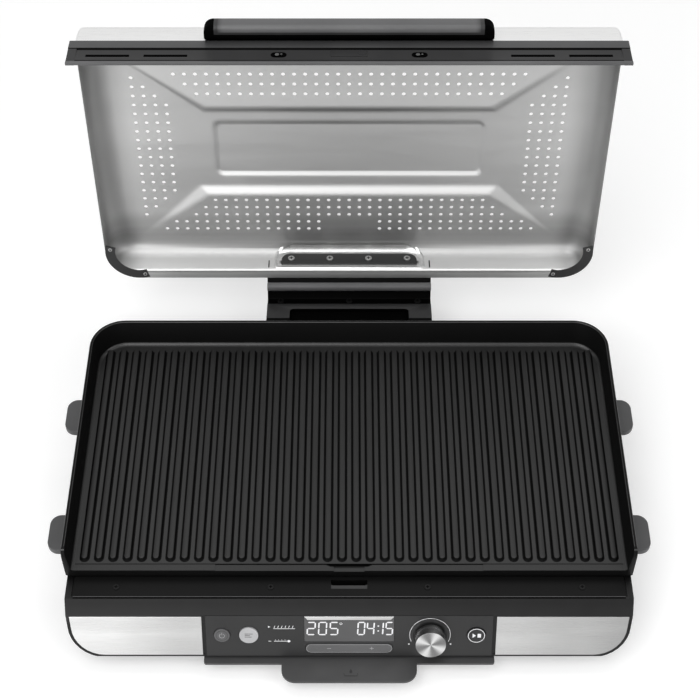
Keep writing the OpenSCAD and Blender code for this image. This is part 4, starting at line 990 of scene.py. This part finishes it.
def button_marks():
    """The icons and rims of the three buttons, and the selector's two signs and light edge."""
    z = top_of("power_button")
    on = Marks()
    on.line(arc(POWER_X, CONTROL_Y - 0.2, 2.3, 120, 420, 24), 0.45, z)
    on.line([(POWER_X, CONTROL_Y + 0.6), (POWER_X, CONTROL_Y + 3.1)], 0.45, z)
    on.done("power_icon", "mark_grey", "power_key", "grey_button")
    rim = Marks()
    rim.line(arc(POWER_X, CONTROL_Y, 5.1, 0, 354, 59), 0.25, z, True)
    rim.done("power_rim", "dark_button", "power_key", "grey_button")
    z = top_of("mode_button")
    mode = Marks()
    for i, end in enumerate((3.6, 1.2, 2.6)):
        y = -19.2 - 1.7 * i
        mode.line([(MODE_X - 3.6, y), (MODE_X + end, y)], 0.55, z)
    mode.done("mode_icon", "grey_button", "mode_key", "silver_button")
    z = top_of("start_button")
    go = Marks()
    go.line(arc(START_X, CONTROL_Y, 7.2, 0, 354, 59), 0.55, z, True)
    go.poly([(START_X - 3.4, -18.6), (START_X - 0.4, CONTROL_Y), (START_X - 3.4, -23.4)], z)
    go.box(START_X + 1, START_X + 4, CONTROL_Y - 2, CONTROL_Y + 2, z)
    go.done("start_icon", "mark_white", "start_key", "dark_button")
    z = top_of("selector_bar")
    bar = Marks()
    bar.line([(-19.5, SELECTOR_Y), (-16, SELECTOR_Y)], 0.5, z)
    bar.line([(18.2, SELECTOR_Y), (21.7, SELECTOR_Y)], 0.5, z)
    bar.line([(19.95, SELECTOR_Y + 1.7), (19.95, SELECTOR_Y - 1.7)], 0.5, z)
    w, h = 37.6, 4.3
    edge = arc(w - h, SELECTOR_Y, h, -90, 90, 16) + arc(-w + h, SELECTOR_Y, h, 90, 270, 16)
    bar.line(edge, 0.3, z, True)
    bar.done("selector_marks", "mark_grey", "selector", "grey_button")


def tray_mark():
    """A drop over a tray, printed on the pull."""
    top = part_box("tray_pull")[1].z
    at = Matrix.Translation((0.0015, FRONT - 0.066, top))
    drop = [(-1.4, 1.6), (-0.9, 0.5), (0, 0), (0.9, 0.5), (1.4, 1.6), (0.8, 3.0), (0, 4.6), (-0.8, 3.0)]
    sign = Marks()
    sign.poly(drop, 0, 0.03)
    sign.line([(-6.2, 0.2), (-5.6, -2.4), (5.6, -2.4), (6.2, 0.2)], 0.7, 0)
    sign.done("tray_sign", "mark_dark", "tray", "grey_plastic", at)


display_marks()
fascia_marks()
button_marks()
tray_mark()


def islands(node):
    """The separate solids of a CAD node, each as its points in the world."""
    o = NODES[node]
    bm = bmesh.new()
    bm.from_mesh(o.data)
    bmesh.ops.remove_doubles(bm, verts=bm.verts, dist=2e-6)
    todo, out = set(bm.verts), []
    while todo:
        stack, part = [todo.pop()], []
        while stack:
            v = stack.pop()
            part.append(o.matrix_world @ v.co)
            for e in v.link_edges:
                other = e.other_vert(v)
                if other in todo:
                    todo.remove(other)
                    stack.append(other)
        out.append(part)
    bm.free()
    return out


def recesses(node, out, body, slot, size):
    """Dark crosses of painted shade, for the recesses in the heads of a node's screws, which face along out.
    """
    parts = []
    turn = out.to_track_quat("Z", "Y").to_matrix().to_4x4()
    for part in islands(node):
        top = max(p.dot(out) for p in part)
        rim = [p for p in part if p.dot(out) > top - 0.00004]
        centre = sum(rim, Vector()) / len(rim)
        one = Marks()
        a, b = size, size * 0.26
        cross = [(b, b), (b, a), (-b, a), (-b, b), (-a, b), (-a, -b)]
        one.poly(cross + [(-x, -y) for x, y in cross], 0, 0.03)
        o = make("one", one.verts, one.faces)
        o.data.transform(Matrix.Translation(centre) @ turn)
        parts.append(o)
    place(tidy(join(node + "_recess", parts)), ["void_and_shade_black"], body, slot, (), HOME, 30)


recesses("backing_screws", LID_TURN @ Vector((0, -1, 0)), "lid", "bright_metal", 1.9)
recesses("arm_screws", LID_TURN @ Vector((0, -1, 0)), "lid", "black_screw", 1.7)
recesses("guard_screws", LID_TURN @ Vector((0, 0, -1)), "lid", "black_screw", 1.5)
recesses("trough_screws", Vector((0, 0, 1)), "base", "black_screw", 1.5)


def seat_slots():
    """Two narrow slots in the lid's rear wall, beside the arm, as flat black marks of painted shade."""
    slots = Marks()
    for x in (-83, 83):
        slots.box(x - 0.6, x + 0.6, 2.5, 13.5, 0, 0.02)
    slots.done("seat_slots", "void_and_shade_black", "lid", "lid_steel", LID @ on_wall(11.04, LID_Z))


def lip_and_handle_shading():
    """Painted shade along the trough's lip step with a painted highlight on its edge, and a black sheet of
    painted shadow behind the handle.
    """
    z, half = RIM / MM - LIP_DROP, 242
    f = FRONT / MM
    lip = Marks()
    # painted shade on the lip's step, then a painted highlight on its edge
    lip.box(-half, half, f - 21.9, f - 20.3, z, 0.03)
    lip.done("trough_lip_shade", "void_and_shade_black", "base", "front_plastic", HOME)
    edge = Marks()
    edge.box(-half, half, f - 20.25, f - 19.6, z, 0.03)
    edge.done("trough_lip_highlight", "skirt_light", "base", "front_plastic", HOME)
    seat = Marks()
    # a black sheet of painted shadow under the handle
    seat.box(-HANDLE_HALF + 1.5, HANDLE_HALF - 1.5, -1.0, 11.5, 0, 0.3)
    seat.done("handle_shadow_sheet", "void_and_shade_black", "lid", "handle_plastic", LID @ on_wall(LID_DEPTH + 0.04, LID_Z))


def drain():
    """The dark line and notch at the plate's front step, and the cover over the trough slot's near half."""
    f, floor = FRONT / MM, RIM / MM - BASIN_DEPTH
    dark = Marks()
    dark.box(-243, 243, f + PLATE_STEP, f + PLATE_STEP + 0.7, floor, 0.03)
    dark.poly([(-21, f + 6.5), (-16.5, f + 4.4), (16.5, f + 4.4), (21, f + 6.5)], floor, 0.02)
    dark.done("plate_step_line", "void_and_shade_black", "plate", "plate_coating", HOME)
    outline = [(-17.5, -11.8), (17.5, -11.8), (17.5, -5.8), (14, -7.5), (-14, -7.5), (-17.5, -5.8)]
    cover = Marks()
    cover.poly([(x, f + y) for x, y in outline], RIM / MM - DECK_DROP, 0.05)
    cover.done("drain_cover", "arm_face", "base", "front_plastic", HOME)


def skirt():
    """The lid's front skirt in three bands."""
    y0, z0 = BACK / MM - LID_DEPTH - 0.4, LID_Z / MM
    # the outline from the side, as places from the skirt's face and the lid's flange, with each face's tone
    # Painted light on the skirt's plastic: the black faces are painted shade in the step below the top band,
    # the groove above the lower band and the inner edge; the edge faces paint a highlight on the top corner
    # and make the lower band and bottom lighter; the light faces make the top band lighter
    plain, light, black, edge = range(4)
    prof = [(9, -0.05, plain), (-0.9, -0.05, edge), (-1, -0.4, light),
            (-1, -11.6, black), (-0.6, -12.2, black), (0.3, -12.5, black),
            (0.5, -13.1, plain), (0.2, -29.2, black), (0.6, -29.8, black), (0.6, -30.9, black),
            (-0.3, -31.3, edge), (-0.4, -33.6, edge), (0.2, -SKIRT_DROP, edge),
            (2.3, -SKIRT_DROP, black), (2.5, -33.6, plain), (2.5, -13, plain), (9, -10.5, plain)]
    rings = []
    for x, inset in ((-SKIRT_HALF, 0.2), (-SKIRT_HALF + 0.4, 0), (SKIRT_HALF - 0.4, 0), (SKIRT_HALF, 0.2)):
        rings.append([(x * MM, (y0 + y + (0 if y > 2 else inset)) * MM, (z0 + z) * MM) for y, z, _ in prof])
    mark = [tone for _, _, tone in prof] * 3 + [plain, plain]
    o = tidy(make("skirt_shell", *loft(rings), mark))
    finish_and_painted_light = ["skirt_plastic", "skirt_light", "arm_black", "skirt_edge"]
    place(o, finish_and_painted_light, "lid", "skirt_plastic", ["front_skirt"], LID, 25)


def skirt_details():
    """The skirt's vents with their light edges, its screw wells and heads, and its cover plate."""
    at = LID @ on_wall(LID_DEPTH + 0.04, LID_Z)
    dark, light, head = Marks(), Marks(), Marks()
    for sx in (-1, 1):
        for x in (164.5, 216.5):
            a, b = sx * x - 19.5, sx * x + 19.5
            # The vents are flat black marks of painted shade, each with a painted highlight on its lower lip
            dark.box(a, b, -24.6, -21.0, 0, 0.25)
            light.box(a, b, -25.2, -24.7, 0, 0.2)
        cx = sx * 63.2
        # Each screw well is a black mark of painted shade; of the two steel discs, the larger is the head and
        # the smaller a painted glint
        dark.poly(arc(cx + 3.2, -21.2, 4, -90, 90, 10) + arc(cx - 3.2, -21.2, 4, 90, 270, 10), 0, 0.25)
        head.disc(cx - 1.5, -20.6, 1.9, 0.3)
        head.disc(cx + 2.4, -20.2, 0.9, 0.3)
    dark.line([(-16.5, -23.6), (-16.5, -13.4), (16.5, -13.4), (16.5, -23.6)], 0.35, 0, True)
    dark.done("skirt_openings", "void_and_shade_black", "lid", "skirt_plastic", at)
    light.done("skirt_vent_highlights", "skirt_light", "lid", "skirt_plastic", at)
    o = head.done("skirt_screw_heads_and_glints", "pin_steel", "lid", "black_screw", at)
    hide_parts("skirt_screws")
    ring = Marks()
    ring.line(arc(12, -18.5, 2.9, 0, 345, 23), 0.5, 0.9, True)
    ring.done("skirt_plug_ring", "skirt_light", "lid", "skirt_plastic", at)


seat_slots()
lip_and_handle_shading()
drain()
skirt()
skirt_details()


# Stage, light and camera
def stage():
    bpy.ops.mesh.primitive_plane_add(size=30, location=(0, 0, cad_lo.z - 0.0002))
    floor = bpy.context.object
    floor.name = "floor"
    m = Nodes("floor")
    m.bsdf.inputs["Base Color"].default_value = (0.82, 0.82, 0.82, 1)
    m.link(m.spread(m.noise(30), 0.75, 0.85), m.bsdf.inputs["Roughness"])
    path = m.node("ShaderNodeLightPath")
    seen = m.math("MAXIMUM", path.outputs["Is Camera Ray"],
                  m.math("MAXIMUM", path.outputs["Is Glossy Ray"], path.outputs["Is Transmission Ray"]))
    glow = m.node("ShaderNodeEmission")
    m.link(m.math("MULTIPLY", seen, 0.3), glow.inputs["Strength"])
    both = m.node("ShaderNodeAddShader")
    m.link(m.bsdf.outputs[0], both.inputs[0])
    m.link(glow.outputs[0], both.inputs[1])
    m.link(both.outputs[0], m.out.inputs["Surface"])
    floor.data.materials.append(m.mat)


def lamp(name, place, aim, size, power, size_y=None):
    data = bpy.data.lights.new(name, "AREA")
    data.shape = "RECTANGLE"
    data.size = size
    data.size_y = size_y or size
    data.energy = power
    o = bpy.data.objects.new(name, data)
    o.location = place
    o.rotation_euler = (Vector(aim) - Vector(place)).to_track_quat("-Z", "Y").to_euler()
    bpy.context.scene.collection.objects.link(o)


def studio():
    """A white world: at full strength where it is seen, and weaker where it lights the object."""
    world = bpy.data.worlds.new("studio")
    bpy.context.scene.world = world
    world.use_nodes = True
    tree = world.node_tree
    tree.nodes.clear()
    path = tree.nodes.new("ShaderNodeLightPath")
    seen = path.outputs["Is Camera Ray"]
    for ray in ("Is Glossy Ray", "Is Transmission Ray"):
        larger = tree.nodes.new("ShaderNodeMath")
        larger.operation = "MAXIMUM"
        tree.links.new(seen, larger.inputs[0])
        tree.links.new(path.outputs[ray], larger.inputs[1])
        seen = larger.outputs[0]
    level = tree.nodes.new("ShaderNodeMapRange")
    level.inputs["To Min"].default_value = 0.45
    level.inputs["To Max"].default_value = 1.0
    tree.links.new(seen, level.inputs["Value"])
    background = tree.nodes.new("ShaderNodeBackground")
    tree.links.new(level.outputs[0], background.inputs["Strength"])
    out = tree.nodes.new("ShaderNodeOutputWorld")
    tree.links.new(background.outputs[0], out.inputs["Surface"])


def camera():
    """The photograph's own view, worked out from its vanishing points."""
    data = bpy.data.cameras.new("camera")
    data.sensor_width = 36
    data.lens = 78.7
    data.shift_x = 0.0012
    ahead, above, tilt = 0.982499, 1.1253, math.radians(40)
    cam = bpy.data.objects.new("camera", data)
    cam.location = (0, BACK - ahead, RIM + above)
    cam.rotation_euler = (tilt, 0, 0)
    bpy.context.scene.collection.objects.link(cam)
    bpy.context.scene.camera = cam


stage()
lamp("key", (-0.7, -1.0, 2.2), (0, 0, 0.1), 1.6, 22)
lamp("front", (-0.9, -2.4, 0.75), (0, 0.1, 0.15), 2.2, 24, 1.1)
lamp("softbox", (0, -1.9, 1.95), (0, 0.2, 0.2), 3.0, 6, 1.2)
lamp("fill", (1.3, -0.9, 1.5), (0, 0, 0.1), 1.2, 7)
lamp("top", (0.1, 0.7, 2.3), (0, 0, 0.1), 1.8, 12, 1.0)
studio()
camera()
bpy.context.scene.view_settings.view_transform = "Standard"
